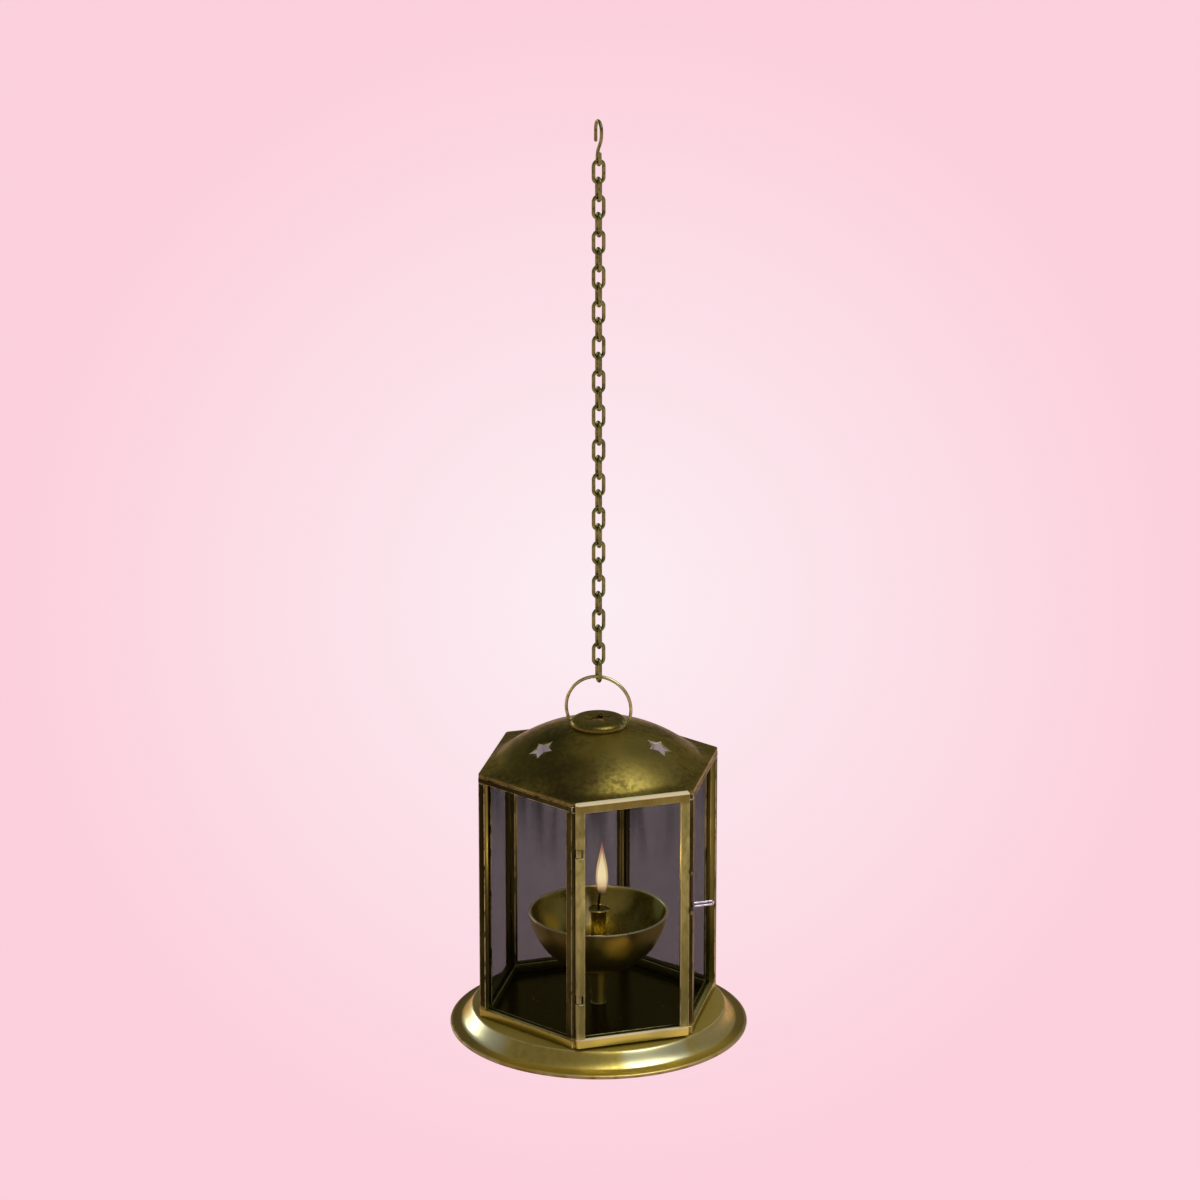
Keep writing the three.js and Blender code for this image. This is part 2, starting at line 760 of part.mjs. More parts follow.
// Wick tube with its drip disc, standing in the bowl, and the wick that is drawn up through it
const tubeFoot = bowlCentre - Math.sqrt(innerSphere ** 2 - tubeRadius ** 2) + seatGap;
const tubeTop = bowlRimHeight + tubeRise;
piece(
  lamp,
  'wick_tube',
  turned(
    [
      [tubeRadius - tubeWall, tubeFoot + tubeWall],
      [tubeRadius, tubeFoot],
      [tubeRadius, tubeTop - tubeDiscThick - tubeDiscCone],
      [tubeDisc, tubeTop - tubeDiscThick],
      [tubeDisc, tubeTop],
      [tubeDisc - tubeDiscLip, tubeTop],
      [tubeDisc - 1.5 * tubeDiscLip, tubeTop - tubeDiscDish],
      [wickRadius + wickClear, tubeTop - tubeDiscThick],
      [wickRadius + wickClear, tubeTop - tubeDiscThick - tubeLid],
      [tubeRadius - tubeWall, tubeTop - tubeDiscThick - tubeLid],
      [tubeRadius - tubeWall, tubeFoot + tubeWall],
    ],
    20,
  ),
  bright,
);
piece(lamp, 'wick', rod(wickRadius, tubeTop - wickBelow, tubeTop + wickAbove, 12), cotton);

const screwTop = screwBite - screwEndGap;
const screwSeat = -seatGap - baseSheet - seatGap;
piece(
  lamp,
  'lamp_screw',
  turned(
    [
      [0, screwSeat - screwHeadHeight],
      [screwHead - screwBevel, screwSeat - screwHeadHeight],
      [screwHead, screwSeat - screwHeadHeight + screwBevel],
      [screwHead, screwSeat],
      [screwShank, screwSeat],
      [screwShank, screwTop],
      [0, screwTop],
    ],
    16,
  ),
  steel,
);

export default object;
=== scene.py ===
import json
import math

import bmesh
import bpy
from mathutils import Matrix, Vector
from mathutils.geometry import delaunay_2d_cdt

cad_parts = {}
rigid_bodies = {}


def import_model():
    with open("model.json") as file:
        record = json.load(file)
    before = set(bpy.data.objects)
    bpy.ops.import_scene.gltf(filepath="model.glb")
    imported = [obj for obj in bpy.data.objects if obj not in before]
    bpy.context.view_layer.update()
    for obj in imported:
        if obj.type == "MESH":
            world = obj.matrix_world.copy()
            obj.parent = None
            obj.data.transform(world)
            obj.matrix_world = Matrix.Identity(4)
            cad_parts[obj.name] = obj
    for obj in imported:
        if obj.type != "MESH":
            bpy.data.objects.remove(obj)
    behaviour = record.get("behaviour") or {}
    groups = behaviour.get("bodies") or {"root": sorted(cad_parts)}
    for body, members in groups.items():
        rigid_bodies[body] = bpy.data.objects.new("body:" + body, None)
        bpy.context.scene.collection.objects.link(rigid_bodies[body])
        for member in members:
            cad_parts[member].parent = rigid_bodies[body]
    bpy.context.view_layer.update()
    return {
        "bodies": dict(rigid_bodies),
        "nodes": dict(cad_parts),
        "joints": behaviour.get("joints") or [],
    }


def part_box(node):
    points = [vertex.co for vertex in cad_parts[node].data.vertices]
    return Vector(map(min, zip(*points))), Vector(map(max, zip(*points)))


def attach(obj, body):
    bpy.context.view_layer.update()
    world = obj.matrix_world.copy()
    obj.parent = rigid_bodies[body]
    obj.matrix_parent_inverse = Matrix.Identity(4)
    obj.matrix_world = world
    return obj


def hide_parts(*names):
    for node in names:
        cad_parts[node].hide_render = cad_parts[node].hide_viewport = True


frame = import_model()
mm = 0.001


# Base pan
# A pan spun from brass sheet: a flat floor, a coved skirt and a rim rolled over into a bead.
# The frame is soldered on top of it, and the floor inside the six walls is darker.
class Socket:
    """One output in a material's nodes: arithmetic on it adds Math nodes."""

    def __init__(self, tree, link=None):
        self.tree = tree
        self.link = link

    def node(self, kind, settings, sockets, output=0):
        made = self.tree.nodes.new("ShaderNode" + kind)
        for key, value in settings.items():
            setattr(made, key, value)
        for key, value in sockets.items():
            if isinstance(value, Socket):
                self.tree.links.new(value.link, made.inputs[key])
            else:
                made.inputs[key].default_value = value
        return Socket(self.tree, made.outputs[output] if made.outputs else None)

    def maths(self, operation, first, second=0.0):
        return self.node("Math", {"operation": operation}, {0: first, 1: second})

    def __add__(self, other):
        return self.maths("ADD", self, other)

    __radd__ = __add__

    def __sub__(self, other):
        return self.maths("SUBTRACT", self, other)

    def __rsub__(self, other):
        return self.maths("SUBTRACT", other, self)

    def __mul__(self, other):
        return self.maths("MULTIPLY", self, other)

    __rmul__ = __mul__

    def __truediv__(self, other):
        return self.maths("DIVIDE", self, other)

    def __rtruediv__(self, other):
        return self.maths("DIVIDE", other, self)

    def __abs__(self):
        return self.maths("ABSOLUTE", self)

    def rise(self, low, high):
        return self.node("MapRange", {"interpolation_type": "SMOOTHSTEP"}, {0: self, 1: low, 2: high})

    def noise(self, scale, detail=3.0, harsh=0.5):
        sockets = {"Vector": self, "Scale": scale, "Detail": detail, "Roughness": harsh}
        return self.node("TexNoise", {}, sockets)

    def part(self, axis):
        return self.node("SeparateXYZ", {}, {0: self}, axis)

    def along(self, direction):
        return self.node("VectorMath", {"operation": "DOT_PRODUCT"}, {0: self, 1: direction}, "Value")

    def distance(self, point):
        return self.node("VectorMath", {"operation": "DISTANCE"}, {0: self, 1: point}, "Value")

    def stretched(self, x, y, z):
        return self.node("VectorMath", {"operation": "MULTIPLY"}, {0: self, 1: (x, y, z)})

    def flat(self):
        return self.stretched(1, 1, 0)

    def from_axis(self):
        return self.flat().distance((0, 0, 0))

    def outward(self):
        return self.node("VectorMath", {"operation": "NORMALIZE"}, {0: self.flat()})

    def facing(self):
        return self.node("TexCoord", {}, {}, "Normal")

    def worn(self):
        return self.node("Attribute", {"attribute_name": "worn"}, {}, "Fac")

    def tint(self, first, second):
        return self.node("Mix", {"data_type": "RGBA"}, {0: self, 6: first, 7: second}, 2)

    def bump(self, strength, depth):
        return self.node("Bump", {}, {"Strength": strength, "Distance": depth, "Height": self}, "Normal")


def seen(red, green, blue):
    """A colour as it is seen on a screen, 0 to 255, as linear light."""
    return tuple(((v / 255 + 0.055) / 1.055) ** 2.4 for v in (red, green, blue)) + (1.0,)


def new_material(name):
    """A material without a shader, and the place of each point on its object, where its nodes start."""
    material = bpy.data.materials.new(name)
    material.use_nodes = True
    material.node_tree.nodes.clear()
    return material, Socket(material.node_tree).node("TexCoord", {}, {}, "Object")


def surfaced(material, sockets):
    """The material, once it has a shader with these values."""
    start = Socket(material.node_tree)
    shader = start.node("BsdfPrincipled", {}, sockets)
    start.node("OutputMaterial", {}, {"Surface": shader})
    return material


def brass(name, metal, tarnish, gold, blotch, gloss, dull, streak=(1, 1, 1), ledge=0.0, stains=()):
    """Aged brass: clouds of tarnish, a green bloom here and there, rubbed edges, and upper ledges painted
    pale as light from above.
    """
    green_bloom = seen(84, 92, 52)
    painted_top_light = seen(252, 246, 208)
    grazing_tint = seen(232, 226, 192)
    material, place = new_material(name)
    grain = place.stretched(*streak)
    cloud = grain.noise(blotch, 7.0, 0.68)
    speckle = grain.noise(blotch * 14)
    age = (cloud * 0.7 + speckle * 0.3).rise(0.36, 0.66)
    colour = age.tint(metal, tarnish)
    roughness = gloss + (dull - gloss) * age
    metallic = 1.0 - 0.15 * age
    for mask, stain_colour, stain_gloss, stain_metal in stains:
        cover = mask(place)
        colour = cover.tint(colour, stain_colour)
        roughness = roughness + cover * (stain_gloss - roughness)
        metallic = metallic + cover * (stain_metal - metallic)
    bloom = place.noise(blotch * 0.55, 2.0).rise(0.56, 0.72)
    colour = (bloom * 0.4).tint(colour, green_bloom)
    wear = place.worn() * place.noise(blotch * 5).rise(0.3, 0.55)
    colour = wear.tint(colour, gold)
    # Upward faces are painted pale and less metallic, as light from above
    if ledge:
        upward = place.facing().part("Z").rise(0.78, 0.95) * ledge
        colour = upward.tint(colour, painted_top_light)
        metallic = metallic * (1.0 - 0.75 * upward)
    sockets = {
        "Base Color": colour,
        "Metallic": metallic,
        "Roughness": roughness,
        "Specular Tint": grazing_tint,
        "Normal": speckle.bump(0.12, 0.15 * mm),
    }
    return surfaced(material, sockets)


def stain(mask, colour, gloss, metal):
    """What covers the brass where a mask says so."""
    return mask, colour, gloss, metal


def patch(centre, reach, soft, cover=0.75):
    """A mask with a ragged soft edge round a point of a piece."""

    def mask(place):
        ragged = place.distance(centre) + soft * (place.noise(0.9 / soft, 4.0) - 0.5)
        return ragged.rise(reach + soft / 2, reach - soft / 2) * cover

    return mask


def band(none, full, cover=1.0):
    """A mask that comes in from one height of a piece to another."""
    return lambda place: place.part("Z").rise(none, full) * cover


def at_angle(degrees, radius, u=0.0, v=0.0):
    """A point in a plane, at an angle round another point and a distance from it."""
    angle = math.radians(degrees)
    return (u + radius * math.cos(angle), v + radius * math.sin(angle))


def level(degrees):
    """A level direction, from its angle round the lantern's axis."""
    return (*at_angle(degrees, 1.0), 0.0)


def arc(u, v, radius, begin, end, steps):
    """Points on an arc round a point, with angles in degrees."""
    return [at_angle(begin + (end - begin) * k / steps, radius, u, v) for k in range(steps + 1)]


def bend(first, second, third, fourth, steps):
    """Points on a smooth curve between two ends, drawn towards the two middle points."""
    points = []
    for k in range(steps + 1):
        t = k / steps
        weights = ((1 - t) ** 3, 3 * t * (1 - t) ** 2, 3 * t * t * (1 - t), t**3)
        u = sum(w * p[0] for w, p in zip(weights, (first, second, third, fourth)))
        v = sum(w * p[1] for w, p in zip(weights, (first, second, third, fourth)))
        points.append((u, v))
    return points


def level_ring(bm, centre, radius, sides, turn=0.0):
    """New points round a level circle, turned by a share of the step between them."""
    x, y, z = centre
    ring = []
    for k in range(sides):
        angle = 2 * math.pi * (k + turn) / sides
        ring.append(bm.verts.new((x + radius * math.cos(angle), y + radius * math.sin(angle), z)))
    return ring


def join_rings(bm, rings):
    """Faces between each ring of points and the next, where a ring may be one point many times."""
    for lower, upper in zip(rings, rings[1:]):
        for k in range(len(lower)):
            after = (k + 1) % len(lower)
            corners = list(dict.fromkeys((lower[k], lower[after], upper[after], upper[k])))
            if len(corners) > 2:
                bm.faces.new(corners)


def turned(profile, segments):
    """A body of revolution from a closed outline of radius and height."""
    bm = bmesh.new()
    rings = []
    for radius, height in profile:
        if radius < 1e-7:
            rings.append([bm.verts.new((0, 0, height))] * segments)
        else:
            rings.append(level_ring(bm, (0, 0, height), radius, segments))
    join_rings(bm, rings + rings[:1])
    return bm


def settled(bm, name):
    """The finished mesh: smooth but for its creases, with a measure of how rubbed each point is."""
    crease = 35
    gentle = 300.0
    tight = 2200.0
    least_step = 0.02 * mm
    bmesh.ops.recalc_face_normals(bm, faces=bm.faces)
    worn = bm.verts.layers.float.new("worn")
    for vert in bm.verts:
        curl = 0.0
        for edge in vert.link_edges:
            if len(edge.link_faces) == 2:
                first, second = (face.calc_center_median() for face in edge.link_faces)
                step = max((first - second).length, least_step)
                curl = max(curl, edge.calc_face_angle_signed(0.0) / step)
        vert[worn] = min(1.0, max(0.0, (curl - gentle) / (tight - gentle)))
    mesh = bpy.data.meshes.new(name)
    bm.to_mesh(mesh)
    bm.free()
    mesh.materials.clear()
    mesh.shade_smooth()
    mesh.set_sharp_from_angle(angle=math.radians(crease))
    return mesh


def placed(name, data):
    """A new object in the scene."""
    made = bpy.data.objects.new(name, data)
    bpy.context.scene.collection.objects.link(made)
    return made


def fit(bm, name, material, body, slot, *nodes):
    """Finishes a piece and puts it in the scene, on the body that carries it, in place of its CAD nodes."""
    mesh = settled(bm, name)
    mesh.materials.append(material)
    made = placed(name, mesh)
    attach(made, body)
    if nodes:
        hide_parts(*nodes)
    return made


pan_low, pan_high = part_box("base_pan")
frame_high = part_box("bottom_rail")[1]
floor_z = pan_high.z
foot_z = pan_low.z
rim_radius = pan_high.x
corner_radius = frame_high.x
side_distance = frame_high.y
wall_ways = [level(degrees) for degrees in (30, 90, 150)]
pan_sheet = 1.2 * mm
pan_hole = 2.0 * mm
flat_radius = corner_radius + 1.2 * mm
crease_radius = flat_radius + 6.4 * mm
crease_z = foot_z + 3.4 * mm
bead = 2.6 * mm
pan_profile = [(pan_hole, floor_z), (flat_radius * 0.7, floor_z)]
pan_profile += bend(
    (flat_radius - 0.6 * mm, floor_z),
    (flat_radius + 0.9 * mm, floor_z),
    (crease_radius - 3.0 * mm, crease_z + 1.6 * mm),
    (crease_radius + 0.6 * mm, crease_z - 0.1 * mm),
    14,
)
pan_profile += arc(rim_radius - bead / 2, foot_z + bead / 2, bead / 2, 115, -90, 12)
pan_profile += [
    (rim_radius - bead, foot_z + 0.2 * mm),
    (rim_radius - bead, foot_z + bead - pan_sheet),
    (crease_radius - pan_sheet / 2, crease_z - pan_sheet),
    (flat_radius - pan_sheet, floor_z - pan_sheet),
    (pan_hole, floor_z - pan_sheet),
]


def darker_inner_floor(place):
    """A mask for the floor inside the six walls, which is darker."""
    inside = 1.0
    for way in wall_ways:
        inside = abs(place.along(way)).rise(side_distance - 5 * mm, side_distance - 7 * mm) * inside
    return inside * place.part("Z").rise(floor_z - 0.6 * mm, floor_z - 0.3 * mm)


def skirt_highlights(place):
    """A mask for places on the skirt painted pale as highlights."""
    outward = place.outward()
    sheen_spots = 0.0
    for degrees, reach, share in ((186, 0.9, 1.0), (-82, 0.95, 0.8), (-42, 0.9, 0.3)):
        sheen_spots = outward.along(level(degrees)).rise(reach, 0.98) * share + sheen_spots
    height = place.part("Z")
    slope = height.rise(crease_z - 0.3 * mm, crease_z + 0.5 * mm) * height.rise(floor_z, floor_z - 0.6 * mm)
    outside = place.from_axis().rise(flat_radius - 3 * mm, flat_radius - 1 * mm)
    return sheen_spots * slope * outside


def shaded_flange_sides(place):
    """A mask for the flat edge away from the door, painted darker as shade."""
    towards_door = place.outward().along(level(-100))
    low = place.part("Z").rise(crease_z + 0.6 * mm, crease_z - 0.1 * mm)
    return towards_door.rise(0.75, 0.3) * low * 0.75


def shaded_bead_underside(place):
    """A mask for the under side of the rolled rim, painted darker as shade under the bead."""
    rim = place.from_axis().rise(rim_radius - bead, rim_radius - 0.6 * bead)
    low = place.part("Z").rise(foot_z + 0.75 * bead, foot_z + 0.45 * bead)
    return rim * low * 0.85


# The flat edge outside the skirt is wiped to a warmer colour, and the flat top of the pan is painted lighter
# as light in the roof's shade
golden_flange = band(crease_z + 0.9 * mm, crease_z - 0.1 * mm, cover=0.8)
lit_pan_top = band(floor_z - 0.7 * mm, floor_z - 0.2 * mm, cover=0.9)
pan_brass = brass(
    "base_brass",
    metal=seen(208, 190, 98),
    tarnish=seen(166, 148, 70),
    gold=seen(240, 234, 190),
    blotch=18.0,
    gloss=0.28,
    dull=0.42,
    stains=[
        stain(golden_flange, seen(196, 166, 62), gloss=0.36, metal=0.7),
        # Painted shade on the flat edge's sides away from the door
        stain(shaded_flange_sides, seen(96, 84, 44), gloss=0.42, metal=0.8),
        # Painted shade under the rolled rim
        stain(shaded_bead_underside, seen(70, 58, 24), gloss=0.46, metal=0.9),
        # Painted highlights on the skirt
        stain(skirt_highlights, seen(222, 224, 180), gloss=0.3, metal=1.0),
        # Painted light on the flat top of the pan, which the roof shades
        stain(lit_pan_top, seen(148, 128, 50), gloss=0.42, metal=0.2),
        stain(darker_inner_floor, seen(84, 78, 38), gloss=0.22, metal=1.0),
    ],
)
fit(turned(pan_profile, 128), "base_pan.spun", pan_brass, "lantern", "worn_brass", "base_pan")


# Rails and corner posts
# Channels folded from brass sheet: a hexagonal rail at the top and one on the floor, with six posts
# between them. The panes stand in their slots, and the joints are soldered.
def rounded(bm, steepness, width, segments):
    """Rounds over the edges where the surface turns by more than an angle in degrees."""
    sharp = [edge for edge in bm.edges if edge.calc_face_angle(0.0) > math.radians(steepness)]
    bmesh.ops.bevel(
        bm,
        geom=sharp,
        offset=width,
        offset_type="OFFSET",
        segments=segments,
        profile=0.5,
        affect="EDGES",
        clamp_overlap=True,
    )


def softened(node, width):
    """A copy of a CAD piece with its flat faces made whole and its edges rounded over."""
    bm = bmesh.new()
    bm.from_mesh(frame["nodes"][node].data)
    bmesh.ops.remove_doubles(bm, verts=bm.verts, dist=0.001 * mm)
    bmesh.ops.dissolve_limit(bm, angle_limit=math.radians(1), verts=bm.verts, edges=bm.edges)
    rounded(bm, 30, width, 3)
    return bm


def shaded_left_corner(place):
    """A mask for the left corner, painted dark as shade."""
    above = place.part("Z").rise(floor_z + 6 * mm, floor_z + 12 * mm)
    return place.part("X").rise(-48 * mm, -66 * mm) * above * 0.95


def lit_inner_faces(place):
    """A mask for the inner faces, painted lighter as light inside the lantern."""
    return place.facing().along(place.outward()).rise(-0.2, -0.6) * 0.85


# The lower rail is lighter and golden
golden_sill = band(floor_z + 8 * mm, floor_z + 5 * mm, cover=0.85)
# The frame's brass is tarnished and painted darker still as shade, so the posts read darker than the door
frame_brass = brass(
    "frame_brass",
    metal=seen(66, 65, 25),
    tarnish=seen(35, 33, 10),
    gold=seen(226, 220, 156),
    blotch=40.0,
    gloss=0.26,
    dull=0.48,
    streak=(1, 1, 0.3),
    ledge=0.14,
    stains=[
        stain(golden_sill, seen(162, 154, 60), gloss=0.36, metal=0.95),
        # Painted shade on the left corner
        stain(shaded_left_corner, seen(34, 32, 10), gloss=0.42, metal=1.0),
        # Painted light on the inner faces of the frame
        stain(lit_inner_faces, seen(150, 148, 68), gloss=0.4, metal=0.9),
    ],
)
corners = ("right", "back_right", "back_left", "left", "front_left", "front_right")
for node in ["top_rail", "bottom_rail"] + [f"post_{corner}" for corner in corners]:
    fit(softened(node, 0.35 * mm), f"{node}.folded", frame_brass, "lantern", "antique_brass", node)


# Fixed panes
# Five sheets of smoky glass, held in the slots of the posts and rails. Soot has run down from the
# top edge in streaks, and a few grains of dust catch the light.
def smoked_glass(name, top):
    """Grey rose glass that dims what is behind it, with soot on it that takes the rest of the light."""
    clear = 0.43
    sooty = 0.64
    material, place = new_material(name)
    runs = place.stretched(1, 1, 0.12).noise(120.0, 4.0).rise(0.42, 0.68)
    soot = runs * place.part("Z").rise(top - 50 * mm, top - 2 * mm)
    haze = place.noise(30.0, 3.0).rise(0.35, 0.7)
    grains = place.noise(900.0, 1.0).rise(0.8, 0.83)
    cover = clear + (sooty - clear) * soot + 0.02 * haze
    sockets = {
        "Base Color": grains.tint(seen(5, 4, 3), seen(170, 156, 124)),
        "Specular IOR Level": 0.0,
        "Roughness": 0.08 + 0.14 * soot + 0.05 * haze,
        "Alpha": cover + grains * 0.2,
    }
    return surfaced(material, sockets)


def glaze(node, body):
    """A pane in its slots. Light goes in through it unhindered, and only what is seen through it dims."""
    pane = fit(softened(node, 0.2 * mm), f"{node}.sheet", pane_glass, body, "glass", node)
    pane.visible_shadow = False
    pane.visible_diffuse = False
    pane.visible_glossy = False


pane_glass = smoked_glass("pane_glass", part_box("pane_back")[1].z)
for side in ("front_right", "back_right", "back", "back_left", "front_left"):
    glaze(f"pane_{side}", "lantern")

# Lamp bowl
# A hemispherical oil bowl spun from brass, with a thickened lip, on a slender turned stem that is
# screwed to the floor. The inside is polished, and painted highlights, reflections and shade lie on the bowl
# and stem.
bowl_low, bowl_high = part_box("lamp_bowl")
bowl_radius = bowl_high.x
bowl_drop = 4.1 * mm
bowl_wall = 1.6 * mm
stem_radius = 4.4 * mm
stem_flare = 5.0 * mm
stem_bore = 1.9 * mm
stem_bore_depth = 11.0 * mm
stem_steps = 14
bowl_centre = bowl_high.z + bowl_drop
bowl_sphere = math.hypot(bowl_radius, bowl_drop)
rim_slope = math.degrees(math.asin(bowl_drop / bowl_sphere))
lip = bowl_wall / 2
lip_slope = -rim_slope - 1.2
neck_radius = stem_radius + stem_flare
neck_slope = math.degrees(math.acos(neck_radius / bowl_sphere))
neck_z = bowl_centre - bowl_sphere * math.sin(math.radians(neck_slope))
stem_z = bowl_low.z
bowl_profile = arc(0, bowl_centre, bowl_sphere - bowl_wall, -90, lip_slope, 26)
bowl_profile += arc(bowl_radius - lip, bowl_high.z - lip, lip, 150, 10, 6)
bowl_profile += arc(0, bowl_centre, bowl_sphere, lip_slope, -neck_slope, 24)
for k in range(1, stem_steps + 1):
    share = k / stem_steps
    waist = stem_radius + stem_flare * (1 - share) ** 2.4
    bowl_profile.append((waist, neck_z + (stem_z + 0.8 * mm - neck_z) * share))
bowl_profile += [
    (stem_radius + 0.5 * mm, stem_z),
    (stem_bore, stem_z),
    (stem_bore, stem_z + stem_bore_depth),
    (0, stem_z + stem_bore_depth),
]
bowl_deep = level(72)
bowl_side = level(72 - 90)


def in_bowl(across, deep, below_rim):
    """A point of the bowl, seen from the front and a little left of the door."""
    x = across * bowl_side[0] + deep * bowl_deep[0]
    y = across * bowl_side[1] + deep * bowl_deep[1]
    return (x, y, bowl_high.z - below_rim)


def shaded_bowl_underside(place):
    """A mask for the down-facing outside of the bowl, painted darker as shade."""
    return place.facing().part("Z").rise(0.1, -0.1) * 0.85


def reflection_streak(place):
    """A mask for an upright streak inside the far wall, painted pale as a reflection."""
    back = place.along(bowl_deep)
    across = place.along(bowl_side)
    streak = across.rise(-15 * mm, -11 * mm) * across.rise(-4 * mm, -6.5 * mm)
    return streak * back.rise(28 * mm, 33 * mm) * back.rise(40 * mm, 37 * mm)


def stem_highlight(place):
    """A mask for a line down the front of the stem, painted bright as a highlight."""
    across = place.along(bowl_side)
    line = across.rise(-1.2 * mm, 0.8 * mm) * across.rise(3.6 * mm, 1.8 * mm)
    near = place.part("Y").rise(0.5 * mm, -1.5 * mm)
    return line * near * place.part("Z").rise(neck_z + 2 * mm, neck_z - 4 * mm)


# The stem under the bowl is painted lighter as light where the bowl shades it, and the lip has a painted
# highlight
lit_stem = band(neck_z + 3 * mm, neck_z - 6 * mm)
rim_highlight = band(bowl_high.z - 0.9 * mm, bowl_high.z - 0.5 * mm)
# Painted highlights and reflections on the bowl and its neck, and one patch of painted shade
# Each mark: its place across, deep and below the rim, its reach and its soft edge, all in mm, and its look
bowl_light_marks = [
    (12.6, -38, 10, 8, 8, seen(252, 222, 74), 0.36, 0.45),
    (-16, -36, 12, 9, 8, seen(140, 120, 40), 0.36, 0.6),
    (10, 39, 5, 11, 10, seen(206, 202, 126), 0.4, 0.5),
    (38, 16, 5, 8, 7, seen(186, 208, 150), 0.4, 0.4),
    (-30, 25, 12, 13, 10, seen(244, 236, 150), 0.3, 0.7),
    (-28, 20, 17, 6, 6, seen(255, 228, 84), 0.3, 0.3),
    (-1, -19, 33, 8, 8, seen(255, 220, 84), 0.36, 0.2),
]
# Painted shade on the down-facing outside of the bowl
bowl_stains = [stain(shaded_bowl_underside, seen(118, 112, 36), gloss=0.3, metal=0.65)]
for across, deep, below, reach, soft, colour, gloss, metal in bowl_light_marks:
    mark = patch(in_bowl(across * mm, deep * mm, below * mm), reach * mm, soft * mm)
    bowl_stains.append(stain(mark, colour, gloss, metal))
bowl_stains += [
    # Painted reflection inside the far wall of the bowl
    stain(reflection_streak, seen(255, 252, 222), gloss=0.3, metal=0.1),
    # Painted light on the shaded stem
    stain(lit_stem, seen(176, 160, 68), gloss=0.34, metal=0.4),
    # Painted highlight down the front of the stem
    stain(stem_highlight, seen(255, 240, 110), gloss=0.3, metal=0.0),
    # Painted highlight along the lip
    stain(rim_highlight, seen(240, 238, 204), gloss=0.3, metal=0.6),
]
bowl_brass = brass(
    "bowl_brass",
    metal=seen(166, 160, 80),
    tarnish=seen(94, 88, 38),
    gold=seen(238, 232, 172),
    blotch=24.0,
    gloss=0.2,
    dull=0.4,
    stains=bowl_stains,
)
fit(turned(bowl_profile, 96), "lamp_bowl.spun", bowl_brass, "lantern", "worn_brass", "lamp_bowl")

# Lamp screw
# A steel screw with a domed head. It comes up through the base pan into the bore of the lamp's stem
# and holds the lamp to the floor.
screw_low, screw_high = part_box("lamp_screw")
screw_head = screw_high.x
screw_head_height = 2.2 * mm
screw_head_round = 0.9 * mm
screw_shank = 1.6 * mm
screw_tip = 0.4 * mm
steel_bright = seen(222, 224, 230)
steel_dull = seen(168, 168, 172)
steel_shade = seen(74, 70, 62)


def steel(name, shade_end=None):
    """Drawn steel with fine marks and, on the latch, painted shade on the legs as far as the hooked end
    begins.
    """
    material, place = new_material(name)
    marks = place.noise(700.0, 3.0).rise(0.35, 0.7)
    colour = marks.tint(steel_bright, steel_dull)
    roughness = 0.16 + 0.16 * marks
    if shade_end:
        leg_shade = place.part("X").rise(shade_end + 1.2 * mm, shade_end - 0.2 * mm)
        colour = leg_shade.tint(colour, steel_shade)
        roughness = roughness + 0.2 * leg_shade
    return surfaced(material, {"Base Color": colour, "Metallic": 1.0, "Roughness": roughness})


screw_profile = [(0, screw_low.z), (screw_head * 0.5, screw_low.z + 0.1 * mm)]
screw_profile += arc(screw_head - screw_head_round, screw_low.z + 1.1 * mm, screw_head_round, -70, 0, 6)
screw_profile += [
    (screw_head, screw_low.z + screw_head_height),
    (screw_shank, screw_low.z + screw_head_height),
    (screw_shank, screw_high.z - screw_tip),
    (screw_shank - screw_tip, screw_high.z),
    (0, screw_high.z),
]
wire_steel = steel("wire_steel")
fit(turned(screw_profile, 40), "lamp_screw.turned", wire_steel, "lantern", "steel", "lamp_screw")

# Wick tube
# A brass tube that stands on the bottom of the bowl and leads the wick up through its middle. A dished
# drip disc surrounds its mouth, black with soot at its edge.
tube_low, tube_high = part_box("wick_tube")
disc_radius = tube_high.x
tube_radius = 4.6 * mm
tube_wall = 0.9 * mm
wick_hole = 1.15 * mm
disc_edge = 0.45 * mm
tube_profile = [(tube_radius - tube_wall, tube_low.z + tube_wall), (tube_radius, tube_low.z)]
tube_profile += bend(
    (tube_radius, tube_high.z - 3.2 * mm),
    (tube_radius, tube_high.z - 1.8 * mm),
    (tube_radius + 0.4 * mm, tube_high.z - 1.1 * mm),
    (disc_radius - disc_edge, tube_high.z - 0.9 * mm),
    8,
)
tube_profile += arc(disc_radius - disc_edge, tube_high.z - disc_edge, disc_edge, -90, 110, 8)[1:]
tube_profile += bend(
    (disc_radius - 0.9 * mm, tube_high.z - 0.35 * mm),
    (disc_radius - 2.0 * mm, tube_high.z - 0.9 * mm),
    (wick_hole + 1.5 * mm, tube_high.z - 1.0 * mm),
    (wick_hole, tube_high.z - 1.0 * mm),
    8,
)
tube_profile += [(wick_hole, tube_high.z - 1.9 * mm), (tube_radius - tube_wall, tube_high.z - 1.9 * mm)]


def sooty_mouth(place):
    """A mask for the soot on the drip disc's edge."""
    high = place.part("Z").rise(tube_high.z - 1.2 * mm, tube_high.z - 0.7 * mm)
    return place.from_axis().rise(4.4 * mm, 5.6 * mm) * high


tube_brass = brass(
    "tube_brass",
    metal=seen(158, 150, 80),
    tarnish=seen(96, 88, 38),
    gold=seen(224, 214, 142),
    blotch=60.0,
    gloss=0.22,
    dull=0.42,
    stains=[stain(sooty_mouth, seen(34, 28, 18), gloss=0.34, metal=0.6)],
)
fit(turned(tube_profile, 56), "wick_tube.turned", tube_brass, "lantern", "worn_brass", "wick_tube")

